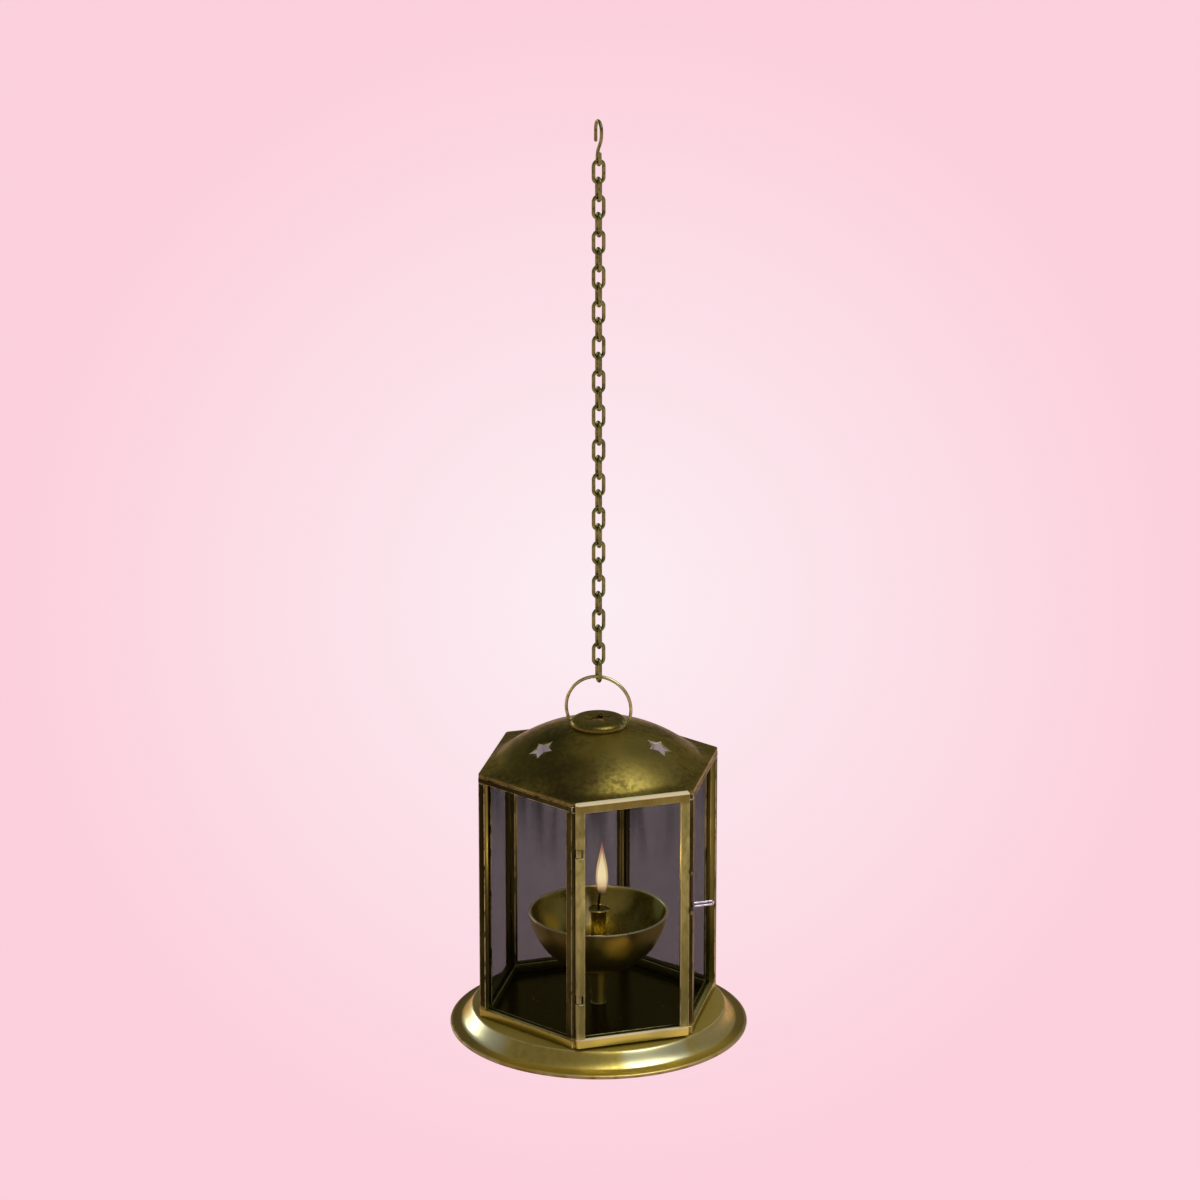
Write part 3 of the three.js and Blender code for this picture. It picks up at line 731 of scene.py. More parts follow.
# Wick
# Three strands of cotton twisted together, charred black where the wick stands out of the tube. It is
# drawn up through the tube as it burns away.
wick_low, wick_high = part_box("wick")
strand_radius = 0.42 * mm
strand_offset = 0.4 * mm
strand_sides = 8
twist_per_length = 2 * math.pi / (7 * mm)
wick_lean = 1.0 * mm
wick_steps = 60


def strand(bm, phase):
    """One strand of the wick: a thin tube that winds round the others and leans over at its top."""
    rings = []
    for k in range(wick_steps + 1):
        height = wick_low.z + (wick_high.z - wick_low.z) * k / wick_steps
        turn = phase + twist_per_length * (height - wick_low.z)
        lean = wick_lean * max(0.0, (height - tube_high.z) / (wick_high.z - tube_high.z)) ** 2
        centre = (strand_offset * math.cos(turn) + lean, strand_offset * math.sin(turn), height)
        thin = min(1.0, 0.35 + 5 * (wick_steps - k) / wick_steps)
        rings.append(level_ring(bm, centre, strand_radius * thin, strand_sides))
    join_rings(bm, rings)
    bm.faces.new(rings[0])
    bm.faces.new(rings[-1])


wick_bm = bmesh.new()
for k in range(3):
    strand(wick_bm, 2 * math.pi * k / 3)
clean_cotton = seen(206, 196, 170)
burnt_cotton = seen(14, 10, 8)
cotton, cotton_place = new_material("charred_cotton")
charred = cotton_place.part("Z").rise(tube_high.z - 3 * mm, tube_high.z)
fuzz = cotton_place.noise(3000.0, 2.0)
cotton_colour = charred.tint(clean_cotton, burnt_cotton)
surfaced(cotton, {"Base Color": cotton_colour, "Roughness": 0.9, "Normal": fuzz.bump(0.6, 0.1 * mm)})
fit(wick_bm, "wick.twisted", cotton, "wick", "wick", "wick")

# Flame
# Not a solid: a tall drop of burning gas round the top of the wick, cream in the middle and rosy at
# its tip, inside a thinner veil. It lights the bowl and the inner faces of the posts.
flame_base = wick_high.z - 2.2 * mm
flame_height = 35 * mm
flame_radius = 3.7 * mm
flame_foot = 0.78
flame_side = (1.9 * mm, -0.6 * mm)
flame_widest = 0.3
flame_steps = 36
flame_sides = 28


def flame_shape(radius, height, base):
    """A drop with a wide foot and a long drawn-out tip, a little to one side of the wick."""
    bm = bmesh.new()
    rings = [[bm.verts.new((*flame_side, base))] * flame_sides]
    for k in range(1, flame_steps):
        share = k / flame_steps
        if share < flame_widest:
            wide = flame_foot + (1 - flame_foot) * math.sin(0.5 * math.pi * share / flame_widest)
        else:
            wide = math.cos(0.5 * math.pi * (share - flame_widest) / (1 - flame_widest)) ** 1.35
        rings.append(level_ring(bm, (*flame_side, base + height * share), radius * wide, flame_sides))
    rings.append([bm.verts.new((*flame_side, base + height))] * flame_sides)
    join_rings(bm, rings)
    return bm


def burning(name, low_colour, mid_colour, tip_colour, cover, strength):
    """Gas that gives its own light, in three colours from its foot to its tip, thin at both."""
    material, place = new_material(name)
    height = place.part("Z")
    up = height.rise(flame_base, flame_base + 0.4 * flame_height)
    end = height.rise(flame_base + 0.55 * flame_height, flame_base + flame_height)
    foot = height.rise(flame_base + 1 * mm, flame_base + 0.34 * flame_height)
    sockets = {
        "Base Color": (0, 0, 0, 1),
        "Specular IOR Level": 0.0,
        "Roughness": 1.0,
        "Emission Color": end.tint(up.tint(low_colour, mid_colour), tip_colour),
        "Emission Strength": strength,
        "Alpha": cover * foot * (1 - 0.15 * end),
    }
    return surfaced(material, sockets)


flame_core = flame_shape(flame_radius * 0.74, flame_height * 0.8, flame_base + 1 * mm)
flame_veil = flame_shape(flame_radius, flame_height, flame_base)
core_fire = burning(
    "flame_core",
    low_colour=seen(226, 170, 110),
    mid_colour=seen(255, 246, 200),
    tip_colour=seen(255, 214, 164),
    cover=0.97,
    strength=3.2,
)
veil_fire = burning(
    "flame_veil",
    low_colour=seen(150, 110, 110),
    mid_colour=seen(250, 214, 150),
    tip_colour=seen(226, 132, 116),
    cover=0.5,
    strength=2.4,
)
for bm, name, fire in ((flame_core, "flame.core", core_fire), (flame_veil, "flame.veil", veil_fire)):
    made = fit(bm, name, fire, "wick", "wick")
    made.visible_shadow = False
    made.visible_glossy = False
glow = bpy.data.lights.new("flame_glow", "POINT")
glow.energy = 0.03
glow.color = seen(255, 216, 150)[:3]
glow.shadow_soft_size = 4 * mm
glow_place = placed("flame_glow", glow)
glow_place.location = (0, 0, flame_base + 0.45 * flame_height)
glow_place.parent = frame["bodies"]["wick"]

# Door
# A frame folded from brass that stands proud of the front opening, brighter than the posts because
# hands use it and the posts are painted darker as shade. Its pane lies in a rebate behind, and its left edge
# is rolled round the hinge pin.
door_low, door_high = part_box("door_frame")
door_rail = 5.4 * mm


def grimy_foot(place):
    """A mask for the dirt that dulls the lower half of the stiles."""
    height = place.part("Z")
    middle = 0.5 * (door_low.z + door_high.z)
    above_rail = height.rise(door_low.z + 4 * mm, door_low.z + 12 * mm)
    return height.rise(middle + 25 * mm, middle - 35 * mm) * above_rail * 0.7


def door_edge_highlights(place):
    """A mask for the folded edges on top of the door and of its lower rail, painted as a cream highlight
    line.
    """
    height = place.part("Z")
    sill = door_low.z + door_rail
    head_line = height.rise(door_high.z - 1.1 * mm, door_high.z - 0.7 * mm)
    sill_top = height.rise(sill + 0.4 * mm, sill + 0.1 * mm)
    return head_line + height.rise(sill - 0.9 * mm, sill - 0.6 * mm) * sill_top


# Thumbs keep the door's lower rail bright, and its upper rail is darker
gold_foot = band(door_low.z + 6.5 * mm, door_low.z + 4.5 * mm)
dull_head = band(door_high.z - 8 * mm, door_high.z - 5 * mm, cover=0.7)
door_brass = brass(
    "door_brass",
    metal=seen(170, 180, 102),
    tarnish=seen(116, 120, 58),
    gold=seen(244, 236, 178),
    blotch=30.0,
    gloss=0.24,
    dull=0.42,
    streak=(1, 1, 0.35),
    ledge=0.3,
    stains=[
        stain(grimy_foot, seen(100, 104, 46), gloss=0.42, metal=1.0),
        stain(gold_foot, seen(212, 212, 100), gloss=0.34, metal=0.95),
        stain(dull_head, seen(118, 112, 46), gloss=0.4, metal=1.0),
        # Painted highlight lines on the door's top edge and sill
        stain(door_edge_highlights, seen(255, 244, 190), gloss=0.4, metal=0.1),
    ],
)
fit(softened("door_frame", 0.8 * mm), "door_frame.folded", door_brass, "door", "worn_brass", "door_frame")
glaze("door_pane", "door")

# Hinge
# A steel wire pin through two rolled brass eyes that are soldered to the left front post. The rolled
# edge of the door turns on the pin, and is cut away round the eyes.
for node in ("hinge_eye_lower", "hinge_eye_upper"):
    fit(softened(node, 0.2 * mm), f"{node}.rolled", door_brass, "lantern", "worn_brass", node)
pin_low, pin_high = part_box("hinge_pin")
pin_centre = (pin_low + pin_high) / 2
pin_radius = 0.7 * mm
pin_round = 0.4 * mm
pin_profile = [(0, pin_low.z)]
pin_profile += arc(pin_radius - pin_round, pin_low.z + pin_round, pin_round, -90, 0, 4)
pin_profile += arc(pin_radius - pin_round, pin_high.z - pin_round, pin_round, 0, 90, 4)
pin_profile += [(0, pin_high.z)]
pin_bm = turned(pin_profile, 24)
bmesh.ops.translate(pin_bm, vec=(pin_centre.x, pin_centre.y, 0), verts=pin_bm.verts)
fit(pin_bm, "hinge_pin.wire", wire_steel, "lantern", "steel", "hinge_pin")


# Latch
# One bright steel wire, bent into a narrow loop that swings over the edge of the door. Its two ends
# turn in small brass eyes beside the door.
def wire(route, radius, across, sides=16, closed=False):
    """A round wire along points in one plane, whose normal is across, with rounded ends."""
    bm = bmesh.new()
    across = Vector(across)
    points = [Vector(point) for point in route]
    count = len(points)

    def ring(k, size, push):
        before = points[(k - 1) % count] if closed or k > 0 else points[k]
        after = points[(k + 1) % count] if closed or k < count - 1 else points[k]
        ahead = (after - before).normalized()
        beside = ahead.cross(across)
        made = []
        for j in range(sides):
            angle = 2 * math.pi * j / sides
            outward = across * math.cos(angle) + beside * math.sin(angle)
            made.append(bm.verts.new(points[k] + ahead * push + outward * size))
        return made

    if closed:
        rings = [ring(k, radius, 0.0) for k in range(count)]
        join_rings(bm, rings + rings[:1])
        return bm
    cap = [at_angle(degrees, radius) for degrees in (72, 54, 36, 18)]
    rings = [ring(0, size, -push) for size, push in cap]
    rings += [ring(k, radius, 0.0) for k in range(count)]
    rings += [ring(count - 1, size, push) for size, push in reversed(cap)]
    join_rings(bm, rings)
    bm.faces.new(rings[0])
    bm.faces.new(rings[-1])
    return bm


def pivot(name):
    """The point that a joint turns about."""
    return next(joint for joint in frame["joints"] if joint["name"] == name)["pos_m"]


latch_low, latch_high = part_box("latch")
latch_x, latch_y, latch_z = pivot("latch_turn")
latch_radius = 0.6 * mm
latch_pitch = 2.1 * mm
latch_bend = 1.0 * mm
latch_tip = latch_high.x - latch_x - latch_radius - latch_pitch / 2
latch_route = [(0, latch_high.z - latch_z - latch_radius)]
latch_route += arc(latch_bend, latch_pitch / 2 + latch_bend, latch_bend, 180, 270, 8)
latch_route += arc(latch_tip, 0, latch_pitch / 2, 90, -90, 14)
latch_route += arc(latch_bend, -latch_pitch / 2 - latch_bend, latch_bend, 90, 180, 8)
latch_route += [(0, latch_low.z - latch_z + latch_radius)]
latch_points = [(latch_x + u, latch_y, latch_z + v) for u, v in latch_route]
# The latch's legs beside the door are painted dark as shade
latch_steel = steel("latch_steel", latch_x + latch_radius)
fit(wire(latch_points, latch_radius, (0, 1, 0)), "latch.wire", latch_steel, "latch", "steel", "latch")
for node in ("latch_eye_upper", "latch_eye_lower"):
    fit(softened(node, 0.15 * mm), f"{node}.rolled", frame_brass, "lantern", "worn_brass", node)

# Roof
# A dome pressed up from a hexagonal brass plate whose edge is folded down as a hem. Three stars and
# a round vent are cut through it. The edge of each star is bare where the punch went through, and painted
# pale as a highlight.
roof_low, roof_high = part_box("roof")
hem = 1.8 * mm
eave_z = roof_low.z + hem
roof_sheet = 0.9 * mm
vent_radius = 9.5 * mm
dome_radius = side_distance - 2.4 * mm
dome_height = 24.2 * mm
dome_soft = 0.7 * mm
dome_sphere = (dome_radius**2 + dome_height**2) / (2 * dome_height)
star_ring = 40 * mm
star_angles = (-45, -165, 75)
star_outer = 7.0 * mm
star_inner = 3.5 * mm


def dome_z(x, y):
    """Height of the roof over the eave: a sphere that runs out softly into the flat plate."""
    over = math.sqrt(dome_sphere**2 - x * x - y * y) - (dome_sphere - dome_height)
    return (over + math.hypot(over, 2 * dome_soft)) / 2 - dome_soft**2 / dome_height


def on_dome(degrees, distance):
    """A point on the dome at an angle round it and a distance from its axis."""
    x, y = at_angle(degrees, distance)
    return (x, y, eave_z + dome_z(x, y))


def between(first, last, parts):
    """Points that part a straight line evenly, from its first end but without its last."""
    (x0, y0), (x1, y1) = first, last
    return [(x0 + (x1 - x0) * j / parts, y0 + (y1 - y0) * j / parts) for j in range(parts)]


def star_outline(centre_x, centre_y, turn, outer, inner, parts=3):
    """A five-pointed star as a closed loop of points, each straight edge in a few parts."""
    tips = []
    for k in range(10):
        reach = outer if k % 2 == 0 else inner
        tips.append(at_angle(turn + 36 * k, reach, centre_x, centre_y))
    loop = []
    for first, last in zip(tips, tips[1:] + tips[:1]):
        loop += between(first, last, parts)
    return loop


def within(point, loop):
    """True if a point is inside a closed loop: a line to its right crosses it an odd number of times."""
    inside = False
    for (x0, y0), (x1, y1) in zip(loop, loop[1:] + loop[:1]):
        if (y0 > point.y) != (y1 > point.y) and point.x < x0 + (x1 - x0) * (point.y - y0) / (y1 - y0):
            inside = not inside
    return inside


def sheet_faces(bm, loops, fill, height):
    """Triangles inside the first loop of points and outside the others, lifted to a height."""
    points = []
    edges = []
    for loop in loops:
        first = len(points)
        points += loop
        edges += [(first + k, first + (k + 1) % len(loop)) for k in range(len(loop))]
    flat = [Vector(point) for point in points + fill]
    verts, _, faces, _, _, _ = delaunay_2d_cdt(flat, edges, [], 1, 1e-7)
    made = [bm.verts.new((v.x, v.y, height(v.x, v.y))) for v in verts]
    for face in faces:
        middle = sum((verts[k] for k in face), Vector((0, 0))) / len(face)
        if not any(within(middle, hole) for hole in loops[1:]):
            bm.faces.new([made[k] for k in face])
    return made


def held(bm, name):
    """A mesh on a passing object, for its modifiers."""
    mesh = bpy.data.meshes.new(name)
    bm.to_mesh(mesh)
    bm.free()
    return placed(name, mesh)


def evaluated(holder):
    """The mesh of an object after its modifiers, and the object gone."""
    bpy.context.view_layer.update()
    graph = bpy.context.evaluated_depsgraph_get()
    shaped = bpy.data.meshes.new_from_object(holder.evaluated_get(graph))
    result = bmesh.new()
    result.from_mesh(shaped)
    bpy.data.meshes.remove(shaped)
    bpy.data.meshes.remove(holder.data)
    return result


def thickened(bm, thickness, width, drill=None):
    """Gives a sheet its thickness on the inner side, drills it and rounds its edges."""
    bmesh.ops.recalc_face_normals(bm, faces=bm.faces)
    if sum(face.normal.z for face in bm.faces) < 0:
        bmesh.ops.reverse_faces(bm, faces=bm.faces)
    holder = held(bm, "thin_sheet")
    solid = holder.modifiers.new("sheet", "SOLIDIFY")
    solid.thickness = thickness
    solid.offset = -1
    solid.use_even_offset = True
    if drill:
        bit = held(drill, "drill")
        hole = holder.modifiers.new("hole", "BOOLEAN")
        hole.operation = "DIFFERENCE"
        hole.solver = "EXACT"
        hole.object = bit
    result = evaluated(holder)
    if drill:
        bpy.data.meshes.remove(bit.data)
    rounded(result, 35, width, 2)
    return result


hex_parts = 26
hex_round = 2.2 * mm
hex_centres = arc(0, 0, corner_radius - hex_round / math.cos(math.radians(30)), 0, 300, 5)
hex_bends = [arc(*centre, hex_round, 60 * k - 30, 60 * k + 30, 4) for k, centre in enumerate(hex_centres)]
hex_loop = []
for bent, after in zip(hex_bends, hex_bends[1:] + hex_bends[:1]):
    hex_loop += bent + between(bent[-1], after[0], hex_parts)[1:]
vent_loop = arc(0, 0, vent_radius, 0, 360 - 7.5, 47)
star_loops = []
star_centres = []
for degrees in star_angles:
    centre = at_angle(degrees, star_ring)
    star_centres.append(centre)
    star_loops.append(star_outline(*centre, degrees + 180, star_outer, star_inner))
roof_fill = []
ring_step = 2.4 * mm
ring_count = int((corner_radius - vent_radius) / ring_step)
for k in range(1, ring_count):
    radius = vent_radius + k * ring_step
    around = int(2 * math.pi * radius / ring_step)
    for j in range(around):
        angle = 2 * math.pi * (j + 0.5 * (k % 2)) / around
        x = radius * math.cos(angle)
        y = radius * math.sin(angle)
        inset = max(abs(x * wall_x + y * wall_y) for wall_x, wall_y, _ in wall_ways)
        near_star = min(math.hypot(x - cx, y - cy) for cx, cy in star_centres)
        if inset < side_distance - 1.4 * mm and near_star > star_outer + 0.8 * mm:
            roof_fill.append((x, y))
roof_bm = bmesh.new()
roof_loops = [hex_loop, vent_loop] + star_loops
roof_skin = sheet_faces(roof_bm, roof_loops, roof_fill, lambda x, y: eave_z + dome_z(x, y))
eave_verts = roof_skin[: len(hex_loop)]
for vert in eave_verts:
    vert.co.z = eave_z
hem_verts = [roof_bm.verts.new((v.co.x, v.co.y, roof_low.z)) for v in eave_verts]
for k, vert in enumerate(eave_verts):
    after = (k + 1) % len(eave_verts)
    roof_bm.faces.new((vert, hem_verts[k], hem_verts[after], eave_verts[after]))


def star_edge_highlights(place):
    """A mask for the edges of the stars, bare where the punch went through and painted pale as a highlight.
    """
    flat = place.flat()
    near = 0.0
    for x, y in star_centres:
        near = flat.distance((x, y, 0)).rise(star_outer + 2.0 * mm, star_outer + 1.0 * mm) + near
    return near * place.worn().rise(0.05, 0.4)


# Painted shade on the left and front of the dome, and a painted glow of light on its right
shaded_dome_left = patch(on_dome(192, 46 * mm), 26 * mm, 26 * mm)
shaded_dome_front = patch(on_dome(236, 54 * mm), 20 * mm, 26 * mm)
dome_glow_right = patch(on_dome(-66, 44 * mm), 24 * mm, 26 * mm, cover=0.4)
# Soot round the vent, painted near black as the shade under the cap as well
sooty_shaded_vent = patch((0, 0, roof_high.z), 14 * mm, 2 * mm, cover=1.0)
roof_brass = brass(
    "roof_brass",
    metal=seen(154, 138, 62),
    tarnish=seen(54, 46, 20),
    gold=seen(150, 140, 74),
    blotch=26.0,
    gloss=0.28,
    dull=0.44,
    stains=[
        stain(shaded_dome_left, seen(50, 52, 22), gloss=0.4, metal=0.95),
        stain(shaded_dome_front, seen(60, 50, 20), gloss=0.4, metal=0.85),
        stain(dome_glow_right, seen(166, 150, 78), gloss=0.36, metal=0.9),
        stain(sooty_shaded_vent, seen(10, 8, 5), gloss=0.7, metal=0.2),
        # Painted highlights on the edges of the stars
        stain(star_edge_highlights, seen(255, 250, 222), gloss=0.3, metal=0.35),
    ],
)
fit(thickened(roof_bm, roof_sheet, 0.3 * mm), "roof.pressed", roof_brass, "lantern", "antique_brass", "roof")

# Crown cap
# A shallow cup with a round shoulder, pressed from brass and soldered over the vent, with a star cut
# in its top. The bail's ends turn in two holes in its side, pale green with verdigris.
cap_low, cap_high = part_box("crown_cap")
cap_radius = 16.8 * mm
cap_wall = 0.9 * mm
cap_shoulder = 4.6 * mm
cap_shoulder_drop = 3.0 * mm
cap_shoulder_steps = 8
cap_star_outer = 7.8 * mm
cap_star_inner = 3.3 * mm
bail_degrees = -30
bail_axis = pivot("lantern_swing")[2]
bail_along = Vector(level(bail_degrees))
bail_hole = 1.35 * mm
cap_parts = 72
cap_flat = cap_radius - cap_shoulder
cap_step = 360 / cap_parts
cap_loop = arc(0, 0, cap_flat, cap_step / 2, 360 - cap_step / 2, cap_parts - 1)
cap_star = star_outline(0, 0, 90 + bail_degrees, cap_star_outer, cap_star_inner)
cap_fill = arc(0, 0, 0.5 * (cap_star_outer + cap_flat), 0, 350, 35)
cap_bm = bmesh.new()
cap_skin = sheet_faces(cap_bm, [cap_loop, cap_star], cap_fill, lambda x, y: cap_high.z)
cap_edge = []
for k in range(1, cap_shoulder_steps + 1):
    lean = 0.5 * math.pi * k / cap_shoulder_steps
    fall = cap_shoulder_drop * (1 - math.cos(lean))
    cap_edge.append((cap_flat + cap_shoulder * math.sin(lean), cap_high.z - fall))
cap_edge.append((cap_radius, cap_low.z))
cap_rings = [cap_skin[:cap_parts]]
for radius, height in cap_edge:
    cap_rings.append(level_ring(cap_bm, (0, 0, height), radius, cap_parts, turn=0.5))
join_rings(cap_bm, cap_rings)
cap_drill = bmesh.new()
drill_shape = {"radius1": bail_hole, "radius2": bail_hole, "depth": 3 * cap_radius}
bmesh.ops.create_cone(cap_drill, cap_ends=True, segments=24, **drill_shape)
turn_drill = bail_along.to_track_quat("Z", "Y").to_matrix()
bmesh.ops.rotate(cap_drill, cent=(0, 0, 0), matrix=turn_drill, verts=cap_drill.verts)
bmesh.ops.translate(cap_drill, vec=(0, 0, bail_axis), verts=cap_drill.verts)


def verdigris(place):
    """A mask for the green bloom round the holes that the bail turns in."""
    ends = abs(place.along(bail_along)).rise(cap_radius - 3.4 * mm, cap_radius - 0.6 * mm)
    return ends * place.noise(420.0).rise(0.42, 0.6) * 0.8


# The foot of the cap is painted golden, as the glow of light along it
cap_foot_glow = band(cap_low.z + 2.4 * mm, cap_low.z + 0.8 * mm, cover=0.8)
cap_brass = brass(
    "cap_brass",
    metal=seen(134, 124, 58),
    tarnish=seen(80, 70, 28),
    gold=seen(140, 128, 64),
    blotch=40.0,
    gloss=0.24,
    dull=0.4,
    stains=[
        # Painted glow along the cap's foot
        stain(cap_foot_glow, seen(134, 118, 44), gloss=0.42, metal=0.7),
        stain(verdigris, seen(146, 156, 112), gloss=0.6, metal=0.3),
    ],
)
cap_shell = thickened(cap_bm, cap_wall, 0.2 * mm, drill=cap_drill)
fit(cap_shell, "crown_cap.pressed", cap_brass, "lantern", "antique_brass", "crown_cap")

# Bail
# A hoop of brass wire that the lantern hangs by. It stands over the cap, narrows at the bottom, and
# its two ends turn inwards through the cap's holes, so the lantern swings in it.
bail_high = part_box("bail")[1]
bail_wire = 1.0 * mm
bail_radius = 19.6 * mm
bail_neck = 4.4 * mm
bail_top = bail_high.z - bail_wire - bail_axis
bail_centre = bail_top - bail_radius
tail_outside = cap_radius + 0.2 * mm
tail_tip = cap_radius - cap_wall - 1.6 * mm + bail_wire
neck_angle = -math.degrees(math.asin((bail_centre - bail_neck) / bail_radius))
neck_u = bail_radius * math.cos(math.radians(neck_angle))
cross_u = neck_u + bail_neck * math.tan(math.radians(neck_angle))
half_bail = [(tail_tip, 0)]
half_bail += bend(
    (tail_outside, 0),
    (tail_outside + (cross_u - tail_outside) * 2 / 3, 0),
    (cross_u + (neck_u - cross_u) / 3, bail_neck / 3),
    (neck_u, bail_neck),
    10,
)
half_bail += arc(0, bail_centre, bail_radius, neck_angle, 90, 30)[1:]
whole_bail = half_bail + [(-u, v) for u, v in reversed(half_bail[:-1])]
bail_points = [bail_along * u + Vector((0, 0, bail_axis + v)) for u, v in whole_bail]
bail_brass = brass(
    "bail_brass",
    metal=seen(200, 198, 124),
    tarnish=seen(160, 154, 86),
    gold=seen(236, 232, 176),
    blotch=60.0,
    gloss=0.24,
    dull=0.4,
)
bail_square = (-bail_along.y, bail_along.x, 0)
fit(wire(bail_points, bail_wire, bail_square), "bail.wire", bail_brass, "bail", "worn_brass", "bail")

# Chain
# Thirty oval links of brass wire, each bent round the last and closed with solder, dark in the
# hollows and rubbed on the outside.
chain_brass = brass(
    "chain_brass",
    metal=seen(116, 124, 64),
    tarnish=seen(64, 66, 34),
    gold=seen(172, 178, 112),
    blotch=110.0,
    gloss=0.26,
    dull=0.46,
)
link_wire = 1.1 * mm
link_half_width = 4.2 * mm
link_half_length = 7.6 * mm
link_bend = link_half_width - link_wire
link_straight = link_half_length - link_wire - link_bend
oval = arc(0, link_straight, link_bend, 0, 180, 16)
oval += [(-link_bend, 0)]
oval += arc(0, -link_straight, link_bend, 180, 360, 16)
oval += [(link_bend, 0)]
chain_nodes = sorted(node for node in frame["nodes"] if node.startswith("chain_link_"))
for k, node in enumerate(chain_nodes):
    low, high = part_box(node)
    middle = (low + high) / 2
    if k % 2 == 0:
        loop = [(u, 0, middle.z + v) for u, v in oval]
        square = (0, 1, 0)
    else:
        loop = [(0, u, middle.z + v) for u, v in oval]
        square = (1, 0, 0)
    link_bm = wire(loop, link_wire, square, 14, closed=True)
    fit(link_bm, f"{node}.wire", chain_brass, f"link_{k + 1:02d}", "antique_brass", node)

# Hanging hook
# A length of the chain's wire bent by hand into an S: an open eye that goes over a nail, a slanting
# shank and a nearly closed eye through the first link.
hook_low, hook_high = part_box("hanging_hook")
hook_wire = 1.0 * mm
hook_top_radius = 5.4 * mm
hook_low_radius = 2.5 * mm
hook_top_z = hook_high.z - hook_wire - hook_top_radius
hook_low_z = hook_low.z + hook_wire + hook_low_radius
hook_drop = hook_top_z - hook_low_z
hook_top_tip = 8.0 * mm
hook_low_tip = 5.4 * mm
hook_route = [(hook_top_radius, hook_top_z - hook_top_tip + hook_wire)]
hook_route += arc(0, hook_top_z, hook_top_radius, 0, 180, 22)
hook_route += bend(
    (-hook_top_radius, hook_top_z),
    (-hook_top_radius, hook_top_z - hook_drop / 2),
    (hook_low_radius, hook_low_z + hook_drop / 2),
    (hook_low_radius, hook_low_z),
    22,
)[1:]
hook_route += arc(0, hook_low_z, hook_low_radius, 0, -180, 16)[1:]
hook_route += [(-hook_low_radius, hook_low_z + hook_low_tip - hook_wire)]
hook_points = [(0, u, v) for u, v in hook_route]
hook_bm = wire(hook_points, hook_wire, (1, 0, 0))
fit(hook_bm, "hanging_hook.wire", chain_brass, "hook", "antique_brass", "hanging_hook")

# Camera
# A long lens, looking down a little from the left of the door, at the distance that gives the
# picture its slight perspective.
camera_turn = math.radians(-18.0)
camera_height = math.radians(18.72)
camera_distance = 3.387
aim_z = -0.289
picture_pixels = 1200
shift_pixels = 1.4
right = Vector((math.cos(camera_turn), math.sin(camera_turn), 0))
away = Vector((-math.sin(camera_turn), math.cos(camera_turn), 0))
up = Vector((0, 0, 1))
camera = bpy.data.cameras.new("camera")
camera.lens = 172.35
camera.sensor_width = 36
camera.shift_x = shift_pixels / picture_pixels
camera.clip_end = 200
camera_place = placed("camera", camera)
back = -away * math.cos(camera_height) + up * math.sin(camera_height)
camera_place.location = Vector((0, 0, aim_z)) + back * camera_distance
camera_place.rotation_euler = back.to_track_quat("Z", "Y").to_euler()
bpy.context.scene.camera = camera_place

# Floor and light
# A wide rose floor some way below the hanging lantern, palest in the middle of the picture. The room
# is light near the ground and dim overhead, with a broad lamp above and a weak one low behind the left.
floor_drop = 0.38
floor_reach = 40.0
floor_glow = 1.03
glow_share = 0.85
pale_share = 0.98
pale_rose = seen(255, 241, 246)
deep_rose = seen(255, 211, 224)
floor_bm = bmesh.new()
bmesh.ops.create_grid(floor_bm, x_segments=2, y_segments=2, size=floor_reach)
floor_mesh = bpy.data.meshes.new("studio_floor")
floor_bm.to_mesh(floor_mesh)
floor_bm.free()
floor = placed("studio_floor", floor_mesh)
floor.location = (camera_place.location.x, camera_place.location.y, foot_z - floor_drop)
floor.rotation_euler.z = camera_turn
pale_reach = pale_share * 0.5 * camera.sensor_width / camera.lens
eye_height = camera_place.location.z - floor.location.z
floor_paint, floor_place = new_material("rose_floor")
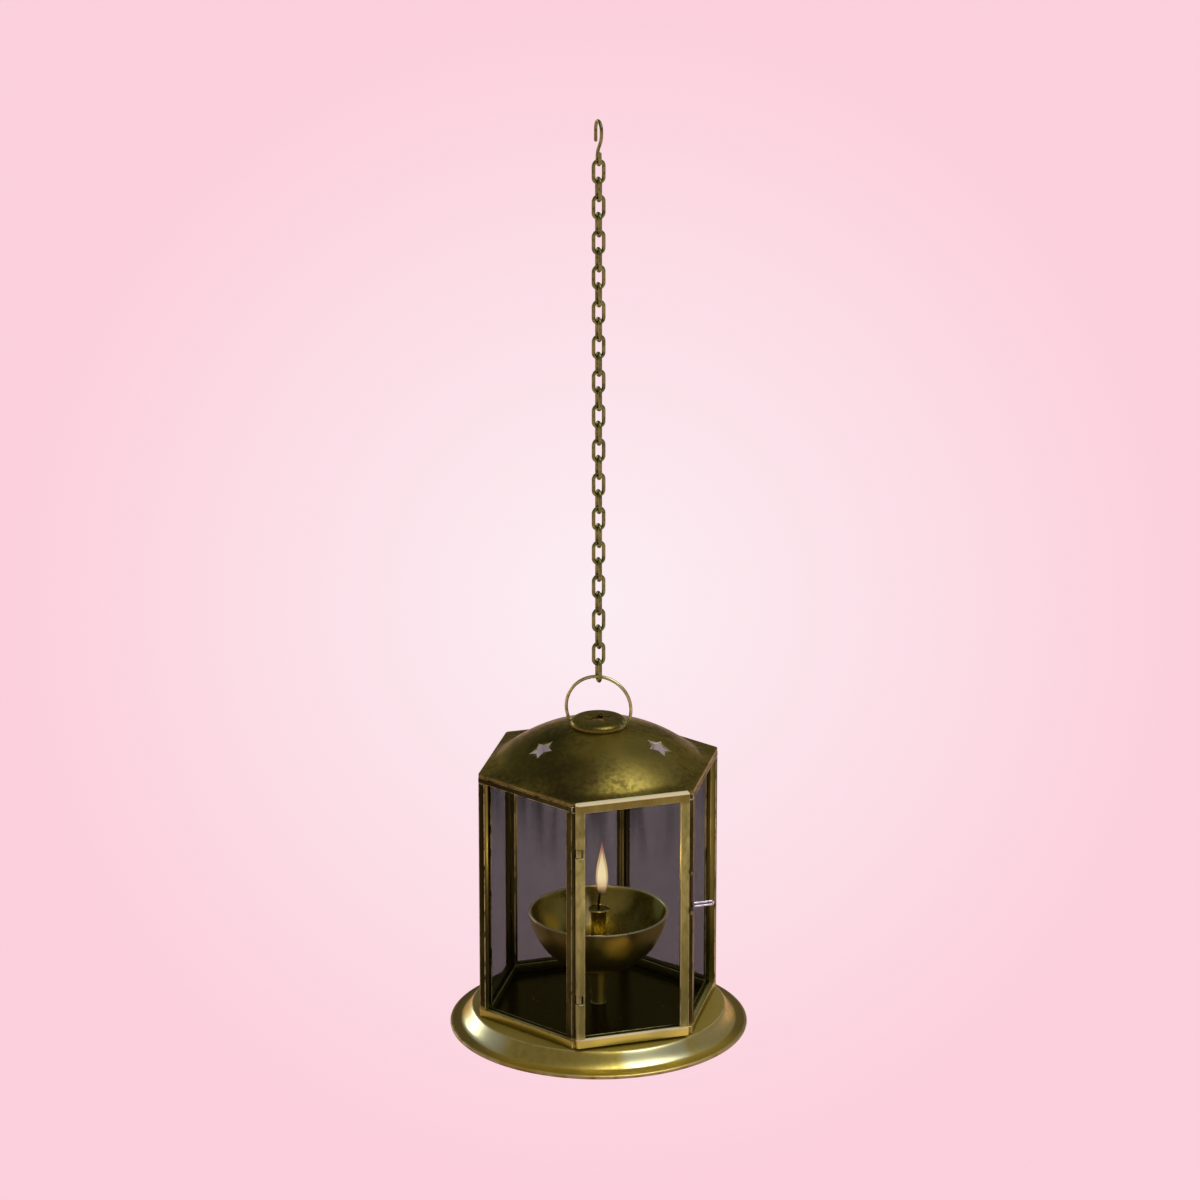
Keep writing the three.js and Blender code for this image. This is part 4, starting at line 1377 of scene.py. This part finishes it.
floor_depth = floor_place.part("Y")
ahead = floor_depth * math.cos(camera_height) + eye_height * math.sin(camera_height)
across = floor_place.part("X") / ahead
above = (floor_depth * math.sin(camera_height) - eye_height * math.cos(camera_height)) / ahead
spread = floor_place.maths("SQRT", across * across + above * above) / pale_reach
rose = floor_place.maths("MINIMUM", spread, 1.0).tint(pale_rose, deep_rose)
rays = ("Camera", "Glossy", "Transmission")
seen_by = [floor_place.node("LightPath", {}, {}, f"Is {ray} Ray") for ray in rays]
shown = floor_place.maths("MINIMUM", seen_by[0] + seen_by[1] + seen_by[2], 1.0)
matt = {"Roughness": 1.0, "Specular IOR Level": 0.0}
lit = {"Base Color": (0, 0, 0, 1), "Emission Color": rose, "Emission Strength": floor_glow}
floor_matt = floor_place.node("BsdfPrincipled", {}, {"Base Color": rose, **matt})
floor_clear = floor_place.node("BsdfPrincipled", {}, {**lit, **matt})
floor_shader = floor_place.node("MixShader", {}, {0: shown * glow_share, 1: floor_matt, 2: floor_clear})
floor_place.node("OutputMaterial", {}, {"Surface": floor_shader})
floor_mesh.materials.append(floor_paint)


def sun(name, strength, spread, towards):
    """A far lamp in a direction, as wide in degrees as its shadows are soft."""
    lamp = bpy.data.lights.new(name, "SUN")
    lamp.energy = strength
    lamp.angle = math.radians(spread)
    placed(name, lamp).rotation_euler = Vector(towards).to_track_quat("Z", "Y").to_euler()


sun("overhead", 1.4, 44, right * 0.35 - away * 0.25 + up * 0.88)
sun("left", 0.42, 22, -right * 0.72 + away * 0.68 + up * 0.12)
room = bpy.data.worlds.new("room")
room.use_nodes = True
room.node_tree.nodes.clear()
room_start = Socket(room.node_tree)
overhead = room_start.node("TexCoord", {}, {}, "Generated").part("Z").rise(0.0, 0.5)
room_colour = overhead.tint(seen(160, 150, 150), seen(138, 132, 132))
room_light = room_start.node("Background", {}, {"Color": room_colour, "Strength": 0.85})
room_start.node("OutputWorld", {}, {"Surface": room_light})
bpy.context.scene.world = room
bpy.context.scene.view_settings.view_transform = "Standard"
